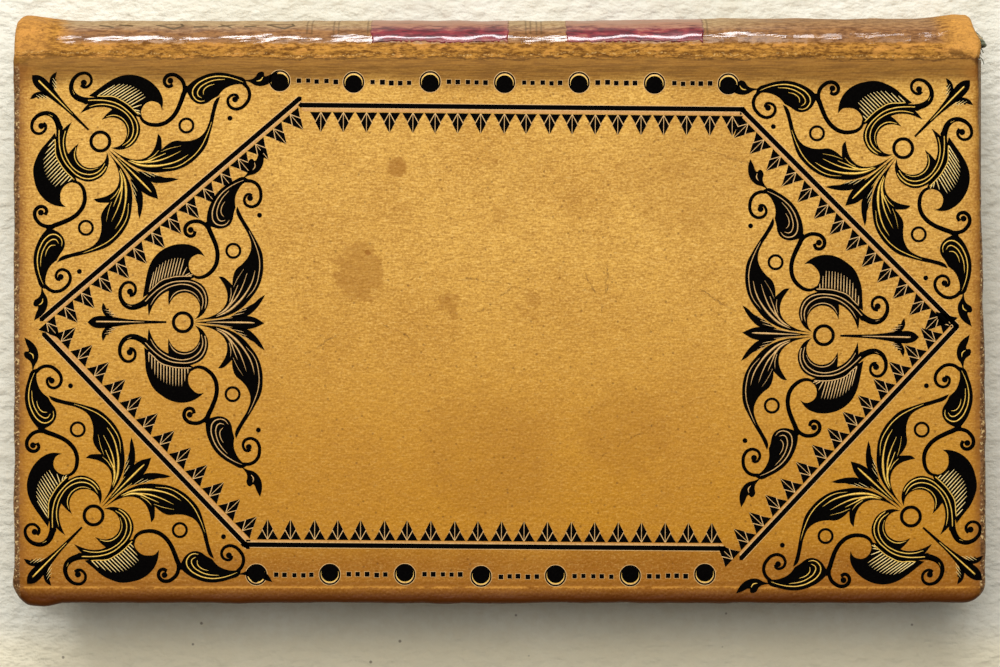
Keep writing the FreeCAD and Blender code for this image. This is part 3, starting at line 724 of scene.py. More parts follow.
# each patch: its place on the cover, its radius and how strong it is
spots = [(-18.1, 24.5, 1.78, 0.62), (-23.3, 9.4, 0.6, 0.85), (-34.0, -2.0, 0.4, 0.7), (-9.2, 0.9, 0.5, 0.6),
         (-0.8, 25.4, 0.6, 0.35), (20.8, 24.6, 0.5, 0.4), (12.9, 18.7, 2.2, 0.14)]
blotches = [(-24.6, 6.2, 4.8, 0.5), (-9.4, 0.7, 2.4, 0.42), (4.9, 0.6, 2.2, 0.28), (0.0, 15.2, 1.9, 0.24),
            (5.0, 12.0, 1.7, 0.24), (-17.0, 16.9, 1.8, 0.18), (-4.0, 20.2, 1.3, 0.18), (3.0, 24.0, 5.0, 0.1),
            (22.0, -22.0, 8.0, 0.2), (31.5, 24.5, 2.6, 0.16), (34.0, 25.0, 13.0, 0.2),
            (-2.0, -26.0, 12.0, 0.16)]
for spread, patches in ((wavy, spots), (ragged, blotches)):
    for spot_x, spot_y, radius, strength in patches:
        mask = stained(spread, (spot_x, spot_y, top_z), radius)
        colour = painted(colour, (times(mask, strength), 150, 95, 22))
# each scratch: where it starts, and how far it runs across and up
scratches = [(14.6, 6.4, 2.7, -4.8), (18.9, 6.9, -0.8, -8.8), (20.3, 6.7, -2.2, -6.4),
             (20.8, 19.9, 2.2, -1.6), (-34.0, -8.0, 5.0, 3.0), (35.2, 2.9, 6.4, -4.0),
             (-20.2, -3.2, 7.0, -3.6), (3.0, 3.5, -9.0, 1.4), (-4.0, -1.0, 7.0, 4.6),
             (44.0, 25.0, -10.0, 3.0), (18.0, -26.0, 9.0, 5.0)]
cuts = [scratched(wavy, (start_x, start_y, top_z), (run_x, run_y, 0), scratch_width)
        for start_x, start_y, run_x, run_y in scratches]
cuts = times(largest(*cuts), ramp(speckle, 0.42, 0.58))
colour = painted(colour, (times(cuts, 0.72), 98, 60, 20))

# beside the joint the leather has darkened and dried into fine lines along the book
beside_joint = times(ramp(wavy_y, 37.6, 41.2), on_front)
lines = clouds(place, 1.5, 3.0, 0.6, (0.14, 2.4, 2.4))
colour = painted(colour, (times(beside_joint, 0.88), 134, 91, 35),
                 (times(beside_joint, ramp(lines, 0.56, 0.4, 0.0, 0.5)), 98, 64, 26))

# the joint itself is rubbed through to the nap, with ragged painted shade along the crease at its edge
tufts = clouds(place, 1.5, 5.0, 0.72, (0.4, 1.2, 1.2))
flakes = clouds(place, 0.32, 4.0, 0.62, (0.5, 1.2, 1.2))
shaggy = minus(tufts, 0.5)
over_joint = ramp(plus(y, times(shaggy, 2.0)), 43.6, 44.0)
nap = painted(
    (104, 64, 20), (ramp(tufts, 0.36, 0.62), 196, 140, 60),
    (ramp(flakes, 0.54, 0.59, 0.0, 0.65), 212, 150, 72),
    (ramp(x, 77, 81, 0.0, 0.55), 222, 162, 82),
    (ramp(x, -78, -81, 0.0, 0.4), 212, 152, 78),
    (ramp(speckle, 0.5, 0.34, 0.0, 0.4), 112, 68, 22))
colour = blended(times(over_joint, 0.94), colour, nap)
from_crease = plus(minus(wavy_y, 43.7), times(shaggy, 1.4))
# ragged painted shade along the crease at the joint
painted_crease_shade = times(ramp(away(from_crease), 0.24, 0.06, 0.0, 0.62), on_front)
lip = times(ramp(away(from_crease, 0.55), 0.2, 0.06, 0.0, 0.7), on_front)
colour = painted(colour, (times(painted_crease_shade, ramp(streaks, 0.4, 0.5)), 66, 38, 14),
                 (times(lip, ramp(speckle, 0.52, 0.6)), 232, 190, 122))

# each dark corner, partly worn and partly painted shade in its hollow: its middle, its radius and
# how strong it is
shaded_and_worn_corners = [((84.2, 43.2, 24.8), 0.9, 0.5), ((-83.6, 42.0, 25.2), 0.8, 0.3),
                ((-84.2, -50.9, 25.0), 1.2, 0.6), ((-78.6, -51.6, 24.6), 0.9, 0.6)]
for middle, radius, strength in shaded_and_worn_corners:
    colour = painted(colour, (times(stained(wavy, middle, radius), strength), 74, 46, 22))

# each fold at a corner, a dark line of painted shade in the fold: where it starts, its run and its width
shaded_corner_folds = [((79.4, 44.9, 24.8), (5.2, -1.6, 0), 0.75), ((84.6, 43.2, 24.6), (0.5, -9.0, 0), 0.9),
                ((-84.6, 42.4, 24.8), (-0.2, -8.0, 0), 0.6), ((-84.3, 48.0, 22.0), (3.6, 0.6, 1.4), 0.5)]
for fold in shaded_corner_folds:
    colour = painted(colour, (times(scratched(wavy, *fold), 0.6), 84, 48, 14))

# the round of the spine is polished by hands and gone brown; towards its top a grey painted
# reflection of the pale table lies over it
wavy_edge = plus(y, times(shaggy, 2.2))
from_end = minus(cover_length / 2 / mm, away(x))
wavy_end = plus(from_end, times(minus(mottle, 0.5), 16.0))
polished = times(ramp(wavy_edge, 46.1, 46.8), ramp(wavy_end, 5.0, 10.0))
# a grey painted reflection of the pale table over the top of the round
painted_reflection = times(ramp(wavy_edge, 48.6, 50.2), ramp(x, 34, 52, 1.0, 0.25))
spine_brown_and_reflection = blended(painted_reflection, painted((106, 70, 44), (ramp(tufts, 0.35, 0.65), 158, 114, 72)),
                  painted((146, 118, 80), (ramp(tufts, 0.4, 0.6), 178, 152, 112)))

# old blind tooling shows as dark lines on the round: pairs of fillets, and lozenges towards the
# tail, which are drawn flat, at their place along the spine and round its upper turn
spine_tools = [ramp(away(away(x, fillet), 0.42), 0.22, 0.1, 0.0, 0.5)
               for fillet in (-33.6, -28.9, -22.9, 5.0, 6.9, 36.2)]
turn_lean = sums("ARCTAN2", minus(y, turn_middle.y / mm), minus(z, turn_middle.z / mm))
unrolled = put("CombineXYZ", {"X": x, "Y": times(turn_lean, shoulder_round / mm)}).outputs[0]


def on_round(x, lean):
    """A point of the unrolled turn, at a lean in degrees from straight up."""
    return Vector((x, math.radians(50 + (lean - 62) * 1.6) * shoulder_round / mm, 0))


# each line: its two ends, as how far along the spine and the lean there
blind_width = 0.34
blind_lines = [((-70.6, 70), (-68.4, 66)), ((-67.2, 72), (-65.0, 68)), ((-53.9, 67), (-51.7, 67)),
               ((-49.2, 74), (-47.6, 66)), ((-49.6, 68), (-47.0, 74)), ((-45.0, 68), (-43.2, 68))]
for middle in (-58.2, -38.6):
    blind_lines += [((middle - 2.4, 72), (middle + 0.6, 62)), ((middle + 0.6, 62), (middle + 2.2, 69)),
                    ((middle + 2.2, 69), (middle + 1.8, 78)), ((middle - 2.4, 73), (middle + 1.8, 79))]
for start, end in blind_lines:
    start, end = on_round(*start), on_round(*end)
    spine_tools.append(scratched(unrolled, start, end - start, blind_width))
spine_brown_and_reflection = painted(spine_brown_and_reflection, (times(largest(*spine_tools), ramp(y, 47.6, 48.2)), 78, 60, 34))
colour = blended(times(polished, 0.95), colour, spine_brown_and_reflection)

# rims are rubbed dark, with a groove at the fore edge and specks of an old gilt roll at the ends; the
# fore edge's rounded rim is darkened as painted shade with a pale painted highlight along it, and the
# ends' worn rims are laid over with painted shade
uneven = times(minus(speckle, 0.5), 0.9)
rim_side = plus(from_end, uneven)
rim_fore = plus(minus(y, cover_low.y / mm), uneven)
rim = sums("MINIMUM", rim_side, rim_fore)
side_brown = times(ramp(rim_side, 2.9, 0.9, 0.0, 0.85), ramp(flakes, 0.36, 0.6, 0.55, 1.0))
head_brown = times(ramp(minus(x, uneven), 82.6, 84.6, 0.0, 0.85), ramp(flakes, 0.34, 0.6, 0.4, 1.0))
# a pale painted highlight along the fore edge's rounded rim
rim_highlight = times(ramp(away(rim_fore, 2.85), 0.3, 0.05, 0.0, 0.62), ramp(streaks, 0.38, 0.52))
worn_and_shaded_rim = times(ramp(rim_side, 1.25, 0.95), cover_only)
rim_shade = painted((74, 48, 26), (ramp(tufts, 0.4, 0.6), 132, 96, 62))
colour = painted(
    colour,
    (times(ramp(rim, 5.5, 1.5, 0.0, 0.35), cover_only), 158, 96, 30),
    (times(largest(side_brown, head_brown), cover_only), 126, 78, 30),
    # the fore edge's rounded rim, turned from the lamps, darkened as painted shade
    (times(ramp(rim_fore, 3.4, 0.9, 0.0, 0.95), cover_only), 80, 36, 0),
    (times(ramp(away(rim_fore, 3.55), 0.5, 0.15, 0.0, 0.5), cover_only), 132, 80, 12),
    (times(rim_highlight, cover_only), 218, 156, 66))
# the ends' worn rims, laid over with painted shade
colour = blended(times(worn_and_shaded_rim, 0.9), colour, rim_shade)
gilt_specks = times(worn_and_shaded_rim, ramp(clouds(place, 1.5, 3.0, 0.7), 0.56, 0.62, 0.0, 0.8))
colour = painted(colour, (gilt_specks, 226, 194, 136))

matte = largest(over_joint, times(beside_joint, 0.6))
roughness = plus(ramp(speckle, 0.35, 0.65, 0.42, 0.54), times(matte, 0.35), clamp=True)
gloss = times(polished, ramp(x, 44, 60, 1.0, 0.35), ramp(tufts, 0.3, 0.5, 0.6, 1.0),
              ramp(y, 49.9, 49.0, 0.12, 1.0))
fibres = times(minus(matte, polished, clamp=True), tufts, 2.2)
creases = times(beside_joint, lines, 1.2)
height = minus(plus(pebbled, plus(fibres, creases)), times(pores, 0.35))
dress(surface, height, 0.055, Base_Color=colour, Roughness=roughness, Specular_IOR_Level=0.13,
      Coat_Weight=gloss, Coat_Roughness=0.09)

for piece, cover, joint_z, nodes in (
        (skin, "front_cover", 2 * half_height, ("front_leather", "spine_leather")),
        (back_skin, "back_cover", 0.0, ("back_leather",))):
    finish_with(piece, calf)
    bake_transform(piece)
    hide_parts(*nodes)

# ---- spine labels ----------------------------------------------------------------------------
# Two patches of thin crimson goatskin are pasted round the spine. They carry no lettering now; their
# edges are ragged and their faces are rubbed pale. Over their upper parts lies a painted reflection of
# the pale table.

label_leather, surface, place = new_finish("crimson label leather")
x, y, z = put("SeparateXYZ", {0: place}).outputs
rubbing = clouds(place, 0.9, 5.0, 0.7, (0.3, 1.2, 1.2))
rubbed_edge_and_reflection = plus(y, times(minus(rubbing, 0.5), 5.0))
colour = painted(
    (70, 12, 24), (ramp(rubbing, 0.36, 0.6), 140, 40, 50),
    # upper parts rubbed pale, with a painted reflection of the pale table over them
    (times(ramp(rubbed_edge_and_reflection, 48.7, 50.0, 0.0, 0.85), ramp(z, 12.5, 16.5, 0.15, 1.0)), 160, 116, 88),
    (ramp(rubbing, 0.56, 0.68, 0.0, 0.7), 168, 116, 92))
dress(surface, use_group(calf_grain, Place=place)["Grain"], 0.03, Base_Color=colour, Roughness=0.5,
      Specular_IOR_Level=0.3, Coat_Weight=ramp(y, 49.9, 49.0, 0.15, 0.9), Coat_Roughness=0.1)

label_lift = 0.3 * mm        # how far off the round each patch is laid out before it is pressed on
label_gap, label_wall, label_raggedness = 0.06 * mm, 0.05 * mm, 0.22 * mm
for node in ("spine_label_tail", "spine_label_head"):
    low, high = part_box(node)
    radius = back_round + label_lift
    label_lean = math.asin((low.y - back_middle.y) / radius)
    bpy.ops.object.select_all(action="DESELECT")
    bpy.ops.mesh.primitive_grid_add(x_subdivisions=60, y_subdivisions=1, size=1)
    label = bpy.context.object
    label.name = f"red_{node}"
    label.scale = (high.x - low.x, mm, 1)
    label.location.x = (low.x + high.x) / 2
    settle(label)
    bpy.ops.object.mode_set(mode="EDIT")
    pick(label, "VERT", lambda c: c[0].y > 0)
    bpy.ops.mesh.delete(type="VERT")
    bpy.ops.mesh.select_all(action="SELECT")
    start = back_middle + radius * Vector((0, math.sin(label_lean), math.cos(label_lean)))
    bpy.ops.transform.translate(value=start + Vector((0, mm / 2, 0)))
    bpy.ops.mesh.spin(steps=44, angle=math.pi - 2 * label_lean, center=back_middle, axis=along_spine)
    bpy.ops.mesh.select_all(action="SELECT")
    bpy.ops.mesh.region_to_loop()
    bpy.ops.transform.vertex_random(offset=label_raggedness, uniform=1.0, seed=3)
    face_outward()
    bpy.ops.object.mode_set(mode="OBJECT")
    apply_modifier(label, "lie on the spine", "SHRINKWRAP", target=skin, offset=label_gap,
                   wrap_method="NEAREST_SURFACEPOINT", wrap_mode="OUTSIDE_SURFACE")
    apply_modifier(label, "wall", "SOLIDIFY", thickness=label_wall, offset=-1)
    bpy.ops.object.shade_smooth()
    finish_with(label, label_leather)
    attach(label, "book_block")
    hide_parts(node)

# ---- endpapers -------------------------------------------------------------------------------
# A plain leaf lies at each end of the book, and its fellow is pasted down inside each cover. They
# are of old laid paper gone brown round the edges.

endpaper_stock = paper_finish("old endpaper", (214, 198, 164), (200, 180, 142), False)
for name in ("front_free_endpaper", "back_free_endpaper", "front_pastedown", "back_pastedown"):
    finish_with(frame["nodes"][name], endpaper_stock)

# ---- black border ----------------------------------------------------------------------------
# The front cover is blocked with heated brass tools over black foil: a six-sided border line with
# a row of teeth inside it. Pale lines of leather along each mark are painted highlights on the edges of
# the impression.

foil_half = 0.012            # half the foil's thickness, in mm as all the tooling is drawn
black_height = 0.026         # how high the layers of a mark lie over the leather
pale_height = 0.014
cut_height = 0.042
cover_top = 2 * half_height / mm


def foil(name, colour, roughness, speckled, shine):
    """Pressed foil, gilding or pale leather, which beside a mark is a painted highlight, with the grain
    of the calf showing through.
    """
    material, surface, place = new_finish(name)
    grain = use_group(calf_grain, Place=place)
    shade = painted(colour, (ramp(grain["Speckle"], 0.42, 0.68), *speckled))
    dress(surface, grain["Grain"], 0.03, Base_Color=shade, Roughness=roughness, Specular_IOR_Level=shine)
    return material


black_foil = foil("black foil", (2, 1, 1), 0.7, (6, 5, 4), 0.02)
# pale leather for the stamps' cuts, and painted highlight beside the marks
pale_cuts_and_painted_highlight = foil("burnished leather", (222, 182, 120), 0.45, (190, 144, 82), 0.3)
# a band of painted highlight between the border line and its teeth
painted_highlight_band = foil("pressed leather", (206, 154, 86), 0.5, (176, 124, 60), 0.3)
gilding = foil("old gilding", (246, 206, 98), 0.35, (214, 160, 50), 0.3)
bright = foil("rubbed edge of a tool mark", (232, 196, 136), 0.4, (206, 160, 96), 0.3)
bright_gilding = foil("bright gilding", (252, 228, 160), 0.35, (232, 188, 92), 0.3)


def drawing(kind, height, material, **settings):
    """An empty curve drawing at a height over the leather."""
    drawn = bpy.data.curves.new("tool_mark", "CURVE")
    for name, value in {"dimensions": kind, **settings}.items():
        setattr(drawn, name, value)
    drawn.materials.append(material)
    piece = bpy.data.objects.new("tool_mark", drawn)
    piece.location.z = height
    bpy.context.collection.objects.link(piece)
    return piece


def add_knots(piece, knots, turn):
    """A smooth line through knots of x, y, half-width and whether it turns sharply there."""
    line = piece.data.splines.new("BEZIER")
    line.bezier_points.add(len(knots) - 1)
    for knot, (x, y, half_width, sharp) in zip(line.bezier_points, knots):
        knot.handle_left_type = knot.handle_right_type = "VECTOR" if sharp else "AUTO"
        knot.co = (x, turn * y, 0)
        knot.radius = half_width
    return line


def flat_shape(outlines, height=black_height, material=black_foil, turn=1):
    """A thin flat piece inside its outlines. Each outline is a list of smooth runs, and each run
    starts at a sharp tip, but one run alone is a round; a turn of -1 gives the mirrored shape."""
    piece = drawing("2D", height, material, fill_mode="BOTH", extrude=foil_half, resolution_u=5)
    for runs in outlines:
        knots = [(*point, 1, len(runs) > 1 and place == 0) for run in runs for place, point in enumerate(run)]
        add_knots(piece, knots, turn).use_cyclic_u = True
    return piece


def polygon(points, height=black_height, material=black_foil):
    return flat_shape([[[point] for point in points]], height, material)


def circle(x, y, radius):
    """A round outline of eight smooth points."""
    eighths = [math.pi * part / 4 for part in range(8)]
    return [[(x + radius * math.cos(angle), y + radius * math.sin(angle)) for angle in eighths]]


def as_mesh(pieces, name):
    """Curves made meshes, joined in one piece that is still drawn in mm."""
    only(*pieces)
    bpy.ops.object.convert(target="MESH")
    bpy.ops.object.join()
    piece = bpy.context.object
    piece.name = name
    settle(piece)
    bpy.ops.object.mode_set(mode="EDIT")
    bpy.ops.mesh.select_all(action="SELECT")
    bpy.ops.mesh.remove_doubles(threshold=0.0005)
    bpy.ops.mesh.normals_make_consistent(inside=False)
    bpy.ops.object.mode_set(mode="OBJECT")
    return piece


def tool_the_cover(piece, node, x=0, y=0, angle=0, size=1):
    """Place a mm drawing on the cover, where it stands for the plain solids of the tooling."""
    piece.scale = (size * mm, size * mm, mm)
    piece.rotation_euler.z = angle
    piece.location = (x * mm, y * mm, cover_top * mm)
    settle(piece)
    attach(piece, "front_cover")
    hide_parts(node)


def along_stroke(start, along, spots, height=black_height, material=black_foil):
    """A flat shape whose corners are given along a stroke and inwards from it."""
    inward = Vector((along.y, -along.x))
    return polygon([tuple(start + along * a + inward * b) for a, b in spots], height, material)


line_width = 0.84
# each stroke: its ends, how far in from it the teeth stand, the first and last tooth, and how many
border_strokes = [
    ((-80.95, -2.6), (-34.85, 36.85), 1.03, 0.8, 57.2, 15),
    ((-35.5, 35.38), (43.35, 34.62), 1.18, 4.1, 76.4, 19),
    ((42.2, 35.05), (80.75, -3.85), 1.03, 3.2, 50.9, 13),
    ((80.75, -3.2), (42.15, -44.65), 0.96, 1.1, 57.3, 15),
    ((40.0, -42.62), (-45.6, -41.92), 0.96, 2.8, 80.9, 20),
    ((-44.0, -42.7), (-80.5, -4.6), 1.30, 3.3, 49.3, 12)]
random.seed(8)


def border_line(start, along, length, foot):
    """One stroke of the fillet tool, its ends a little tapered, with the pale lines beside it painted as
    highlights.
    """
    half = line_width / 2

    def strip(low, high, inset, taper, *look):
        first, last, middle = inset, length - inset, (low + high) / 2
        spots = [(first, middle), (first + taper, low), (last - taper, low), (last, middle),
                 (last - taper, high), (first + taper, high)]
        return along_stroke(start, along, spots, *look)

    return [strip(-half, half, 0, 0.4),
            strip(half - 0.1, foot - 0.12, 0.6, 0.4, pale_height, painted_highlight_band),
            strip(half, half + 0.13, 0.6, 0.1, pale_height + 0.004, pale_cuts_and_painted_highlight),
            strip(-half - 0.12, -half + 0.1, 0.4, 0.1, pale_height, pale_cuts_and_painted_highlight)]


def tooth(foot, along):
    """Two small triangles with a split kite between them, over a pale bed that is a painted highlight."""
    half, kite, split = 0.94, 3.5, 0.05
    bed = [(-half * 2, 0.04), (half * 2, 0.04), (half + 0.05, 1.6), (half, 1.95), (0, kite),
           (-half, 1.95), (-half - 0.05, 1.6)]
    parts = [along_stroke(foot, along, bed, pale_height, pale_cuts_and_painted_highlight)]
    for turn in (-1, 1):
        for spots in ([(turn * 0.08, 0), (turn * half * 2.02, 0), (turn * half * 1.02, 1.58)],
                      [(turn * split, 0.22), (turn * half, 1.85), (turn * split, kite)]):
            parts.append(along_stroke(foot, along, spots))
    return parts


border, teeth = [], []
for start, end, foot_gap, first, last, count in border_strokes:
    start, end = Vector(start), Vector(end)
    length = (end - start).length
    along = (end - start) / length
    border.extend(border_line(start, along, length, foot_gap))
    for number in range(count):
        place = first + (last - first) * number / (count - 1) + random.uniform(-0.1, 0.1)
        teeth.extend(tooth(start + along * place + Vector((along.y, -along.x)) * foot_gap, along))

tool_the_cover(as_mesh(border, "tooled_border_line"), "frame_line")
tool_the_cover(as_mesh(teeth, "tooled_teeth"), "frame_teeth")

# ---- bead rows -------------------------------------------------------------------------------
# Outside the border a row of ringed beads runs along the joint and another along the fore edge,
# with five small square points between each two. The gilding shows as a crescent in each ring.

ring_outer, ring_inner = 1.86, 1.58
bead_size = 1.5
point_size = 0.42
point_places = (3.4, 4.95, 6.6, 8.2, 9.75)
beads_by_the_joint = [(-38.7, 39.65), (-25.7, 39.4), (-12.25, 39.5), (0.85, 39.35), (13.95, 39.35),
                      (27.2, 39.22), (40.2, 39.1)]
beads_by_the_fore_edge = [(-42.8, -47.2), (-29.9, -47.15), (-16.7, -47.15), (-3.3, -47.5), (9.8, -47.4),
                          (22.95, -47.4), (36.05, -47.15)]


def small_point(x, y, half, *look):
    return polygon([(x - half, y - half), (x + half, y - half), (x + half, y + half), (x - half, y + half)],
                   *look)


def bead_row(places, shift, name, node):
    """Seven beads, each struck a little off the middle of its ring, with small points between; each ring
    and point sits on a pale halo that is a painted highlight.
    """
    parts = []
    for number, (x, y) in enumerate(places):
        parts += [flat_shape([circle(x, y, ring_outer), circle(x, y, ring_inner)]),
                  # a pale halo of painted highlight round each ring
                  flat_shape([circle(x, y, ring_outer + 0.1)], pale_height, pale_cuts_and_painted_highlight),
                  flat_shape([circle(x, y + shift * 0.5, bead_size + 0.06)], black_height - 0.004, gilding),
                  flat_shape([circle(x, y + shift, bead_size)], cut_height)]
        for place in point_places if number < len(places) - 1 else ():
            spot = (x + place + random.uniform(-0.12, 0.12), y - 0.01 * place + random.uniform(-0.1, 0.1))
            half = point_size * random.uniform(0.9, 1.06)
            # each point on a pale halo of painted highlight
            parts += [small_point(*spot, half * 1.15, pale_height, pale_cuts_and_painted_highlight), small_point(*spot, half)]
    tool_the_cover(as_mesh(parts, name), node)


bead_row(beads_by_the_joint, -0.24, "tooled_beads_by_the_joint", "bead_row_spine")
bead_row(beads_by_the_fore_edge, 0.22, "tooled_beads_by_the_fore_edge", "bead_row_fore_edge")

# ---- scroll stamps ---------------------------------------------------------------------------
# One large brass stamp made the six scrolled ornaments: a dart and a three-part leaf in line with
# a ring, and on each side a rolled band, a hatched leaf, a curling stem, a volute and a long arm.
# It is drawn in mm from the middle of its ring: x towards the three-part leaf, y out to one side.

dart = [[(-16.8, -0.1), (-16.1, 0.6), (-15.2, 0.98), (-13.4, 1.02), (-11.4, 0.72), (-8.8, 0.4),
         (-6.2, 0.27), (-4.4, 0.22)], [(-2.9, 0.17)],
        [(-2.9, -0.17), (-4.4, -0.22), (-6.2, -0.28), (-8.8, -0.42), (-11.4, -0.75), (-13.4, -1.05),
         (-15.2, -1.1), (-16.1, -0.75)]]
middle_leaf = [[(2.2, 0), (5.8, 0.4), (8.4, 0.9), (10.8, 1.2), (12.7, 0.9), (13.6, 0.4)],
               [(14.4, -0.1), (13.6, -0.5), (12.7, -0.9), (10.8, -1.2), (8.4, -0.9), (5.8, -0.4)]]
barb = [[(-11.4, 0.6), (-12.4, 0.9)], [(-12.1, 1.4), (-12.6, 1.3)], [(-12.6, 1.9), (-12.9, 1.7)],
        [(-13.1, 2.4), (-13.4, 2.3), (-13.7, 2.8)], [(-14.1, 3.4), (-14.3, 2.3), (-13.8, 1.2)],
        [(-13.2, 0.6)]]
side_leaf = [[(8.3, 0.9), (9.8, 1.0), (11.4, 1.2), (12.7, 2.2), (13.8, 3.6)],
             [(14.5, 4.9), (13.5, 4.3), (12.5, 3.4), (11.2, 2.7)], [(10.9, 2.2)],
             [(10.9, 2.6), (10.2, 2.1)], [(9.7, 1.6)], [(10.0, 2.1), (9.2, 1.5)]]
band = [[(2.1, 0.5), (3.3, 1.2), (4.1, 2.3), (4.5, 3.6), (4.3, 5.1), (3.5, 6.5), (2.2, 7.3), (0.7, 7.7),
         (-1.0, 7.6), (-2.7, 7.2), (-4.2, 6.5), (-5.5, 5.5), (-6.4, 4.6)],
        [(-7.3, 3.6), (-7.0, 2.8), (-6.5, 2.8)], [(-6.2, 3.2), (-6.15, 2.2)],
        [(-6.0, 1.1), (-5.6, 2.2), (-5.0, 3.4), (-4.0, 4.6), (-3.0, 5.3)], [(-2.5, 5.5), (-2.6, 4.2)],
        [(-2.5, 2.9), (-2.0, 3.9), (-1.1, 4.8), (0.1, 5.2), (1.1, 5.1), (2.2, 4.4), (2.8, 3.5),
         (3.0, 2.3), (2.7, 1.3)]]
crest = [[(-7.1, 4.3), (-6.75, 6.4), (-6.4, 8.3), (-5.9, 10.0), (-4.95, 11.6), (-3.5, 12.85), (-1.9, 13.55),
          (-0.2, 13.8), (1.4, 13.6), (2.8, 12.9)],
         [(3.85, 11.6), (2.9, 12.0), (1.95, 11.75), (1.25, 11.1), (1.0, 10.1), (1.3, 9.0)],
         [(2.2, 8.0), (0.7, 7.4), (-1.0, 7.4), (-2.7, 7.0), (-4.2, 6.3), (-5.5, 5.3)]]
comma = [[(-6.8, 4.5), (-6.6, 6.8), (-6.5, 8.3), (-6.0, 10.0), (-5.1, 11.7), (-3.6, 13.0), (-1.9, 13.9),
          (-0.1, 14.2), (1.6, 13.9), (2.9, 13.2)],
         [(3.75, 12.5), (2.6, 12.5), (1.8, 11.9), (1.2, 11.1), (1.0, 10.0), (1.3, 8.9)],
         [(2.2, 8.0), (0.7, 7.4), (-1.0, 7.4), (-2.7, 7.0), (-4.2, 6.3), (-5.5, 5.3)]]
volute = [[(4.1, 17.2), (5.2, 16.8), (6.5, 16.55), (7.9, 17.0), (8.6, 17.9), (8.9, 19.3)],
          [(9.2, 20.3), (9.1, 21.8), (9.6, 23.3), (10.4, 24.4)], [(11.6, 25.2), (10.5, 25.7)],
          [(9.9, 25.6), (9.0, 25.1), (7.3, 24.1), (5.8, 22.7), (4.8, 21.0), (4.2, 19.1)]]
bud = [[(9.8, 24.9), (11.4, 25.9), (12.7, 26.3), (13.7, 27.3), (14.15, 29.0)],
       [(13.8, 30.75), (13.2, 29.7), (12.7, 28.6)], [(12.5, 28.5), (12.0, 28.9), (11.4, 28.3),
       (11.5, 27.2), (11.3, 26.5)]]
arm = [[(2.3, 0.4), (4.4, 0.55), (6.3, 0.75), (8.4, 1.4), (10.3, 2.5), (12.0, 4.3), (13.3, 6.2),
        (14.0, 8.3), (14.15, 10.2), (13.9, 12.4), (12.9, 14.5), (11.8, 16.4), (10.6, 18.3)],
       [(9.5, 20.5), (9.3, 19.6), (10.3, 17.5), (11.5, 15.4), (12.0, 13.4), (11.5, 11.7), (10.5, 10.4),
        (9.3, 9.3), (8.8, 7.9)],
       [(8.7, 6.6), (8.0, 7.3), (7.1, 8.0)], [(6.25, 8.1), (6.9, 7.2), (7.6, 5.9), (7.85, 4.4), (7.55, 3.2),
        (6.6, 2.0), (5.2, 1.15), (3.6, 0.65)]]
ring, ring_hole, drop_place, drop_outer, drop_hole = 1.94, 1.36, (8.85, 12.65), 1.42, 0.98

# black strokes, each a list of points with the half-width that the tool has there
band_curl = [(-6.6, 3.6, 0.50), (-7.4, 3.05, 0.48), (-8.9, 2.6, 0.45), (-10.0, 2.9, 0.38), (-10.8, 3.8, 0.33),
             (-11.1, 5.1, 0.29), (-10.8, 6.2, 0.26), (-9.9, 6.95, 0.24), (-8.8, 6.7, 0.23),
             (-8.35, 5.7, 0.22), (-8.75, 4.85, 0.25), (-9.45, 4.75, 0.32)]
stem = [(1.5, 8.5, 0.15), (2.2, 8.0, 0.22), (3.3, 7.95, 0.27), (4.5, 8.55, 0.31), (5.6, 9.8, 0.33),
        (6.05, 11.4, 0.34), (5.9, 13.1, 0.34), (5.2, 15.0, 0.36), (4.5, 16.6, 0.38), (4.3, 17.8, 0.34)]
stem_curl = [(5.1, 15.2, 0.20), (4.4, 16.6, 0.28), (3.3, 17.6, 0.30), (2.0, 17.8, 0.30),
             (0.75, 17.3, 0.30), (0.3, 16.25, 0.30), (0.85, 15.3, 0.28), (1.8, 15.35, 0.27),
             (2.1, 16.1, 0.28)]
volute_curl = [(9.6, 25.0, 0.30), (10.9, 25.0, 0.28), (12.1, 24.9, 0.27), (13.2, 24.1, 0.27),
               (13.65, 22.7, 0.27), (13.4, 21.3, 0.26), (12.6, 20.55, 0.25), (11.6, 20.5, 0.24),
               (10.85, 21.1, 0.23), (10.85, 22.1, 0.22), (11.5, 22.65, 0.22), (12.05, 22.3, 0.28)]
knobs = [(-9.35, 5.35, 0.54), (1.3, 16.3, 0.52), (11.75, 21.95, 0.52), (13.43, 18.95, 0.43)]

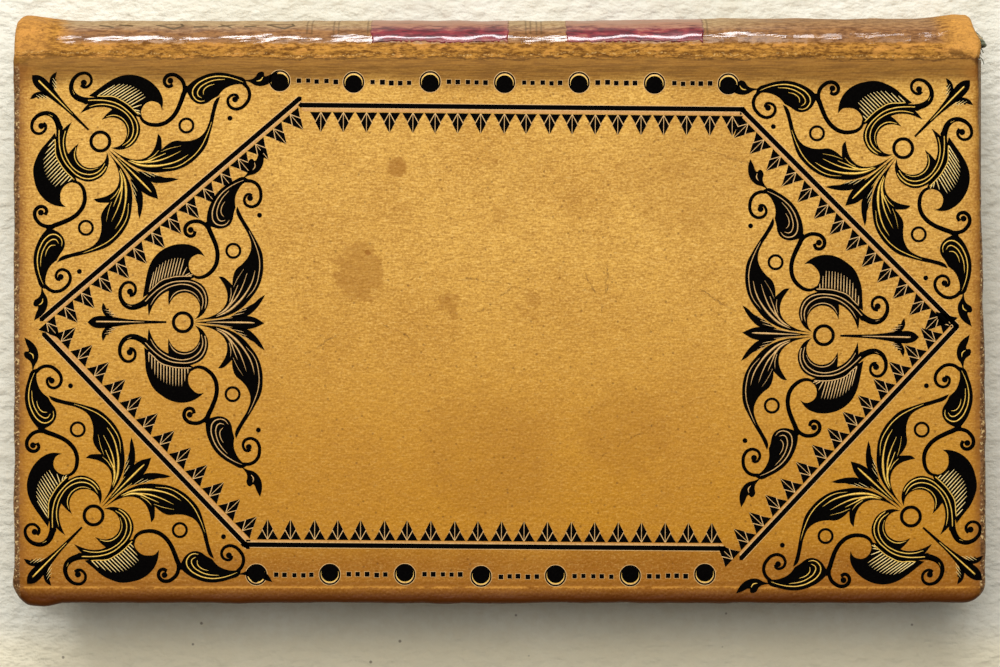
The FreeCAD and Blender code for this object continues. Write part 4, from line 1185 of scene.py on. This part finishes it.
# lines cut through the black, where the leather or the gilding shows
dart_slit = [(-15.3, 0.0, 0.16), (-13.5, 0.0, 0.17), (-10.5, 0.0, 0.12), (-6.8, 0.0, 0.04)]
leaf_slit = [(4.2, 0.0, 0.04), (7.4, 0.0, 0.13), (10.2, -0.03, 0.2), (12.0, -0.05, 0.16), (12.7, -0.08, 0.05)]
leaf_side_slit = [(4.8, 0.33, 0.04), (6.6, 0.55, 0.07), (8.8, 0.85, 0.03)]
side_cuts = [
    [(3.9, 2.4, 0.08), (4.1, 3.6, 0.12), (3.85, 5.1, 0.12), (2.9, 6.4, 0.11), (1.4, 7.1, 0.11),
     (-0.4, 7.2, 0.11), (-2.3, 6.9, 0.11), (-4.2, 5.9, 0.11), (-5.7, 4.6, 0.10), (-6.8, 3.5, 0.09),
     (-7.9, 2.9, 0.08), (-8.9, 2.7, 0.06), (-9.8, 3.0, 0.02)],
    [(3.3, 2.2, 0.05), (3.55, 3.6, 0.10), (3.2, 4.9, 0.11), (2.0, 6.1, 0.10), (0.3, 6.65, 0.10),
     (-1.4, 6.5, 0.10), (-3.3, 5.7, 0.10), (-4.8, 4.4, 0.09), (-5.7, 3.0, 0.05)],
    [(-2.3, 3.8, 0.04), (-1.6, 4.9, 0.09), (-0.4, 5.55, 0.09), (1.1, 5.5, 0.08), (2.3, 4.8, 0.06),
     (3.0, 3.6, 0.03)],
    [(5.9, 1.0, 0.05), (7.9, 1.9, 0.20), (9.6, 3.3, 0.24), (11.0, 5.0, 0.16), (12.2, 7.2, 0.12),
     (12.7, 9.2, 0.03)],
    [(6.0, 1.3, 0.05), (7.4, 2.1, 0.20), (8.4, 3.3, 0.22), (8.9, 4.6, 0.10), (9.7, 6.6, 0.05)],
    [(8.3, 2.9, 0.12), (9.6, 4.6, 0.15), (10.5, 6.4, 0.10), (11.3, 8.7, 0.03)],
    [(8.2, 3.6, 0.05), (8.5, 4.9, 0.08), (8.45, 6.1, 0.03)],
    [(8.9, 6.2, 0.03), (9.6, 7.7, 0.05), (10.7, 9.4, 0.02)],
    [(11.2, 4.3, 0.03), (12.7, 6.2, 0.08), (13.4, 8.6, 0.09), (13.45, 11.2, 0.09), (12.7, 13.8, 0.08),
     (11.6, 16.2, 0.03)],
    [(8.1, 18.0, 0.04), (7.5, 17.3, 0.09), (6.5, 17.1, 0.11), (5.5, 17.6, 0.12), (5.1, 18.8, 0.12),
     (5.4, 20.5, 0.12), (6.3, 22.2, 0.11), (7.6, 23.5, 0.10), (9.2, 24.5, 0.07), (10.6, 25.1, 0.03)],
    [(7.4, 18.0, 0.04), (6.5, 17.9, 0.10), (5.95, 18.8, 0.11), (6.1, 20.3, 0.10), (6.8, 21.8, 0.09),
     (8.0, 23.2, 0.04)],
    [(7.2, 18.6, 0.04), (6.7, 19.2, 0.09), (6.75, 20.3, 0.09), (7.3, 21.3, 0.03)],
    [(12.2, 26.9, 0.05), (12.6, 27.5, 0.13), (12.5, 28.2, 0.05)]]
fine_cuts = [
    [(-11.3, 0.8, 0.02), (-12.2, 1.05, 0.07), (-13.0, 1.25, 0.02)],
    [(-11.8, 1.3, 0.03), (-12.7, 1.5, 0.07), (-13.5, 1.65, 0.02)],
    [(-12.4, 1.85, 0.03), (-13.1, 1.95, 0.06), (-13.8, 2.1, 0.02)],
    [(8.8, 1.25, 0.02), (9.8, 1.45, 0.06), (10.8, 1.7, 0.02)],
    [(9.5, 1.8, 0.03), (10.4, 2.05, 0.06), (11.3, 2.35, 0.02)],
    [(10.3, 2.4, 0.03), (11.1, 2.65, 0.05), (11.8, 3.0, 0.02)]]
# the graver's lines that shade the big leaf, between a foot line and a head line
hatch_count = 14
hatch_first = -5.95
hatch_pitch = 0.53
hatch_foot = [(-6.0, 5.45), (-5.1, 6.25), (-4.3, 7.05), (-3.5, 7.55), (-2.5, 7.85), (-1.45, 8.1), (-0.4, 8.2),
              (1.5, 8.2)]
hatch_head = [(-6.0, 7.0), (-5.4, 8.4), (-4.8, 9.5), (-3.9, 10.3), (-2.9, 10.9), (-1.5, 11.3), (0.1, 11.3),
              (0.5, 10.2), (1.0, 8.9), (1.5, 8.4)]


def line_at(points, x):
    """How far out a broken line lies at x."""
    for (x1, y1), (x2, y2) in zip(points, points[1:]):
        if x <= x2:
            return y1 + (y2 - y1) * (x - x1) / (x2 - x1)
    return points[-1][1]


def hatch_lines(lean):
    """The graver's lines between the foot line and the head line, each leaning towards its end."""
    cuts = []
    for number in range(hatch_count):
        x = hatch_first + hatch_pitch * number
        foot, head = line_at(hatch_foot, x), line_at(hatch_head, x + lean)
        cuts.append([(x, foot, 0.11), (x + lean * 0.6, foot + (head - foot) * 0.6, 0.1),
                     (x + lean, head, 0.04)])
    return cuts


def strokes(lines, height, material, turn=1, resolution=4, weight=1.0):
    """Tapered lines: a flattened tube along each, as wide as its points say."""
    piece = drawing("3D", height, material, bevel_depth=weight, bevel_resolution=0,
                    resolution_u=resolution, use_fill_caps=True)
    for line in lines:
        add_knots(piece, [(*knot, False) for knot in line], turn)
    piece.scale.z = 0.05
    return piece


marks = [flat_shape([dart]), flat_shape([middle_leaf]),
         flat_shape([circle(0, 0, ring), circle(0, 0, ring_hole)]),
         strokes([dart_slit, leaf_slit], cut_height, pale_cuts_and_painted_highlight)]
for turn, big_leaf, lean in ((1, crest, 0.8), (-1, comma, 0.0)):
    drop = [circle(*drop_place, drop_outer), circle(*drop_place, drop_hole)]
    outlines = [[outline] for outline in (barb, side_leaf, band, big_leaf, volute, bud, arm)]
    for shape in (*outlines, drop, *([circle(*knob)] for knob in knobs)):
        marks.append(flat_shape(shape, turn=turn))
    foot_line = [(x, y - 0.12, 0.1) for x, y in hatch_foot]
    marks += [strokes([band_curl, stem, stem_curl, volute_curl], black_height, black_foil, turn, 6, 1.12),
              strokes([*side_cuts, leaf_side_slit, foot_line], cut_height, pale_cuts_and_painted_highlight, turn),
              strokes([*hatch_lines(lean), *fine_cuts], cut_height, bright, turn)]
stamp = as_mesh(marks, "scroll_stamp")

stamp_size = 0.997
# where the middle of each stamp's ring stands, and its turn in degrees
stamp_places = {
    "corner_scroll_tail_spine": (-70.25, 28.98, -44.5),
    "corner_scroll_head_spine": (70.95, 27.79, -134.8),
    "corner_scroll_tail_fore_edge": (-71.45, -36.79, 45.4),
    "corner_scroll_head_fore_edge": (72.3, -36.98, 137.9),
    "side_scroll_tail": (-55.75, -2.81, -0.3),
    "side_scroll_head": (57.0, -5.1, 178.5)}
for node, (x, y, angle) in stamp_places.items():
    only(stamp)
    bpy.ops.object.duplicate()
    impression = bpy.context.object
    impression.name = f"tooled_{node}"
    if node.startswith("corner"):
        for slot in impression.material_slots:
            slot.material = {pale_cuts_and_painted_highlight: gilding, bright: bright_gilding}.get(slot.material, slot.material)
    tool_the_cover(impression, node, x, y, math.radians(angle), stamp_size)
bpy.data.objects.remove(stamp)

# ---- table -----------------------------------------------------------------------------------
# A sheet of pale warm paper with a soft tooth, and the book lies on it. Painted light makes it paler
# beside the book's ends, and warm painted light in front of the fore edge lifts the book's shadow.

bpy.ops.object.select_all(action="DESELECT")
bpy.ops.mesh.primitive_plane_add(size=3.0, location=(0, 0, -0.3 * mm))
table = bpy.context.object
table.name = "table_paper"
table_paper, surface, place = new_finish("table paper")
x, y, z = put("SeparateXYZ", {0: place}).outputs
fibre = clouds(place, 0.35, 6.0, 0.7)
lumps = clouds(place, 0.42, 2.0, 0.5, (0.7, 1.2, 1.0))
# painted light, paler beside the book's ends
painted_light_beside_book = plus(ramp(x, 84, 96, 0.0, 0.75), ramp(x, -84, -96, 0.0, 0.45), clamp=True)
flecks = cells(place, 0.17)
sheet = painted(
    (224, 224, 210), (ramp(clouds(place, 0.03, 4.0, 0.6), 0.35, 0.65), 236, 237, 226),
    (ramp(fibre, 0.35, 0.65, 0.0, 0.25), 205, 195, 170),
    (painted_light_beside_book, 252, 250, 238),
    # warm painted light over the book's shadow in front of the fore edge
    (times(ramp(y, -56, -64), 0.7), 252, 243, 212),
    (times(ramp(flecks, 0.06, 0.03, 0.0, 0.7), ramp(y, -40, -56)), 110, 100, 84))
dress(surface, plus(fibre, times(lumps, 1.6)), 0.5, Base_Color=sheet, Roughness=0.9)
finish_with(table, table_paper)

# ---- light and camera ------------------------------------------------------------------------
# One soft lamp stands high behind the spine at the left, a low panel runs along the spine, and
# there is a weak even fill. The camera looks straight down.


def soft_lamp(name, place, aim, size, power, colour):
    """A lamp with a flat oblong face at a place, facing its aim."""
    bpy.ops.object.light_add(type="AREA", location=place)
    lamp = bpy.context.object
    lamp.name = name
    lamp.rotation_euler = (Vector(aim) - Vector(place)).to_track_quat("-Z", "Y").to_euler()
    lamp.data.shape = "RECTANGLE"
    lamp.data.size, lamp.data.size_y = size
    lamp.data.energy = power
    lamp.data.color = colour


soft_lamp("high_lamp", (-0.09, 0.27, 0.79), (0, 0, 0.02), (0.7, 0.7), 6.2, (1.0, 0.955, 0.88))
soft_lamp("window_lamp", (-0.1, 0.80, 0.54), (0, 0.03, 0.01), (0.6, 0.13), 5.7, (0.98, 0.97, 0.99))

world = bpy.data.worlds.new("room")
world.use_nodes = True
world.node_tree.nodes["Background"].inputs["Color"].default_value = (1.0, 0.97, 0.92, 1)
world.node_tree.nodes["Background"].inputs["Strength"].default_value = 0.1
bpy.context.scene.world = world

bpy.ops.object.camera_add(location=(0.00004, -0.0048, 0.6452), rotation=(0, 0, 0))
camera = bpy.context.object
camera.name = "camera"
camera.data.sensor_width = 36
camera.data.lens = 126.9
camera.data.clip_start = 0.01
bpy.context.scene.camera = camera
bpy.context.scene.view_settings.view_transform = "Standard"
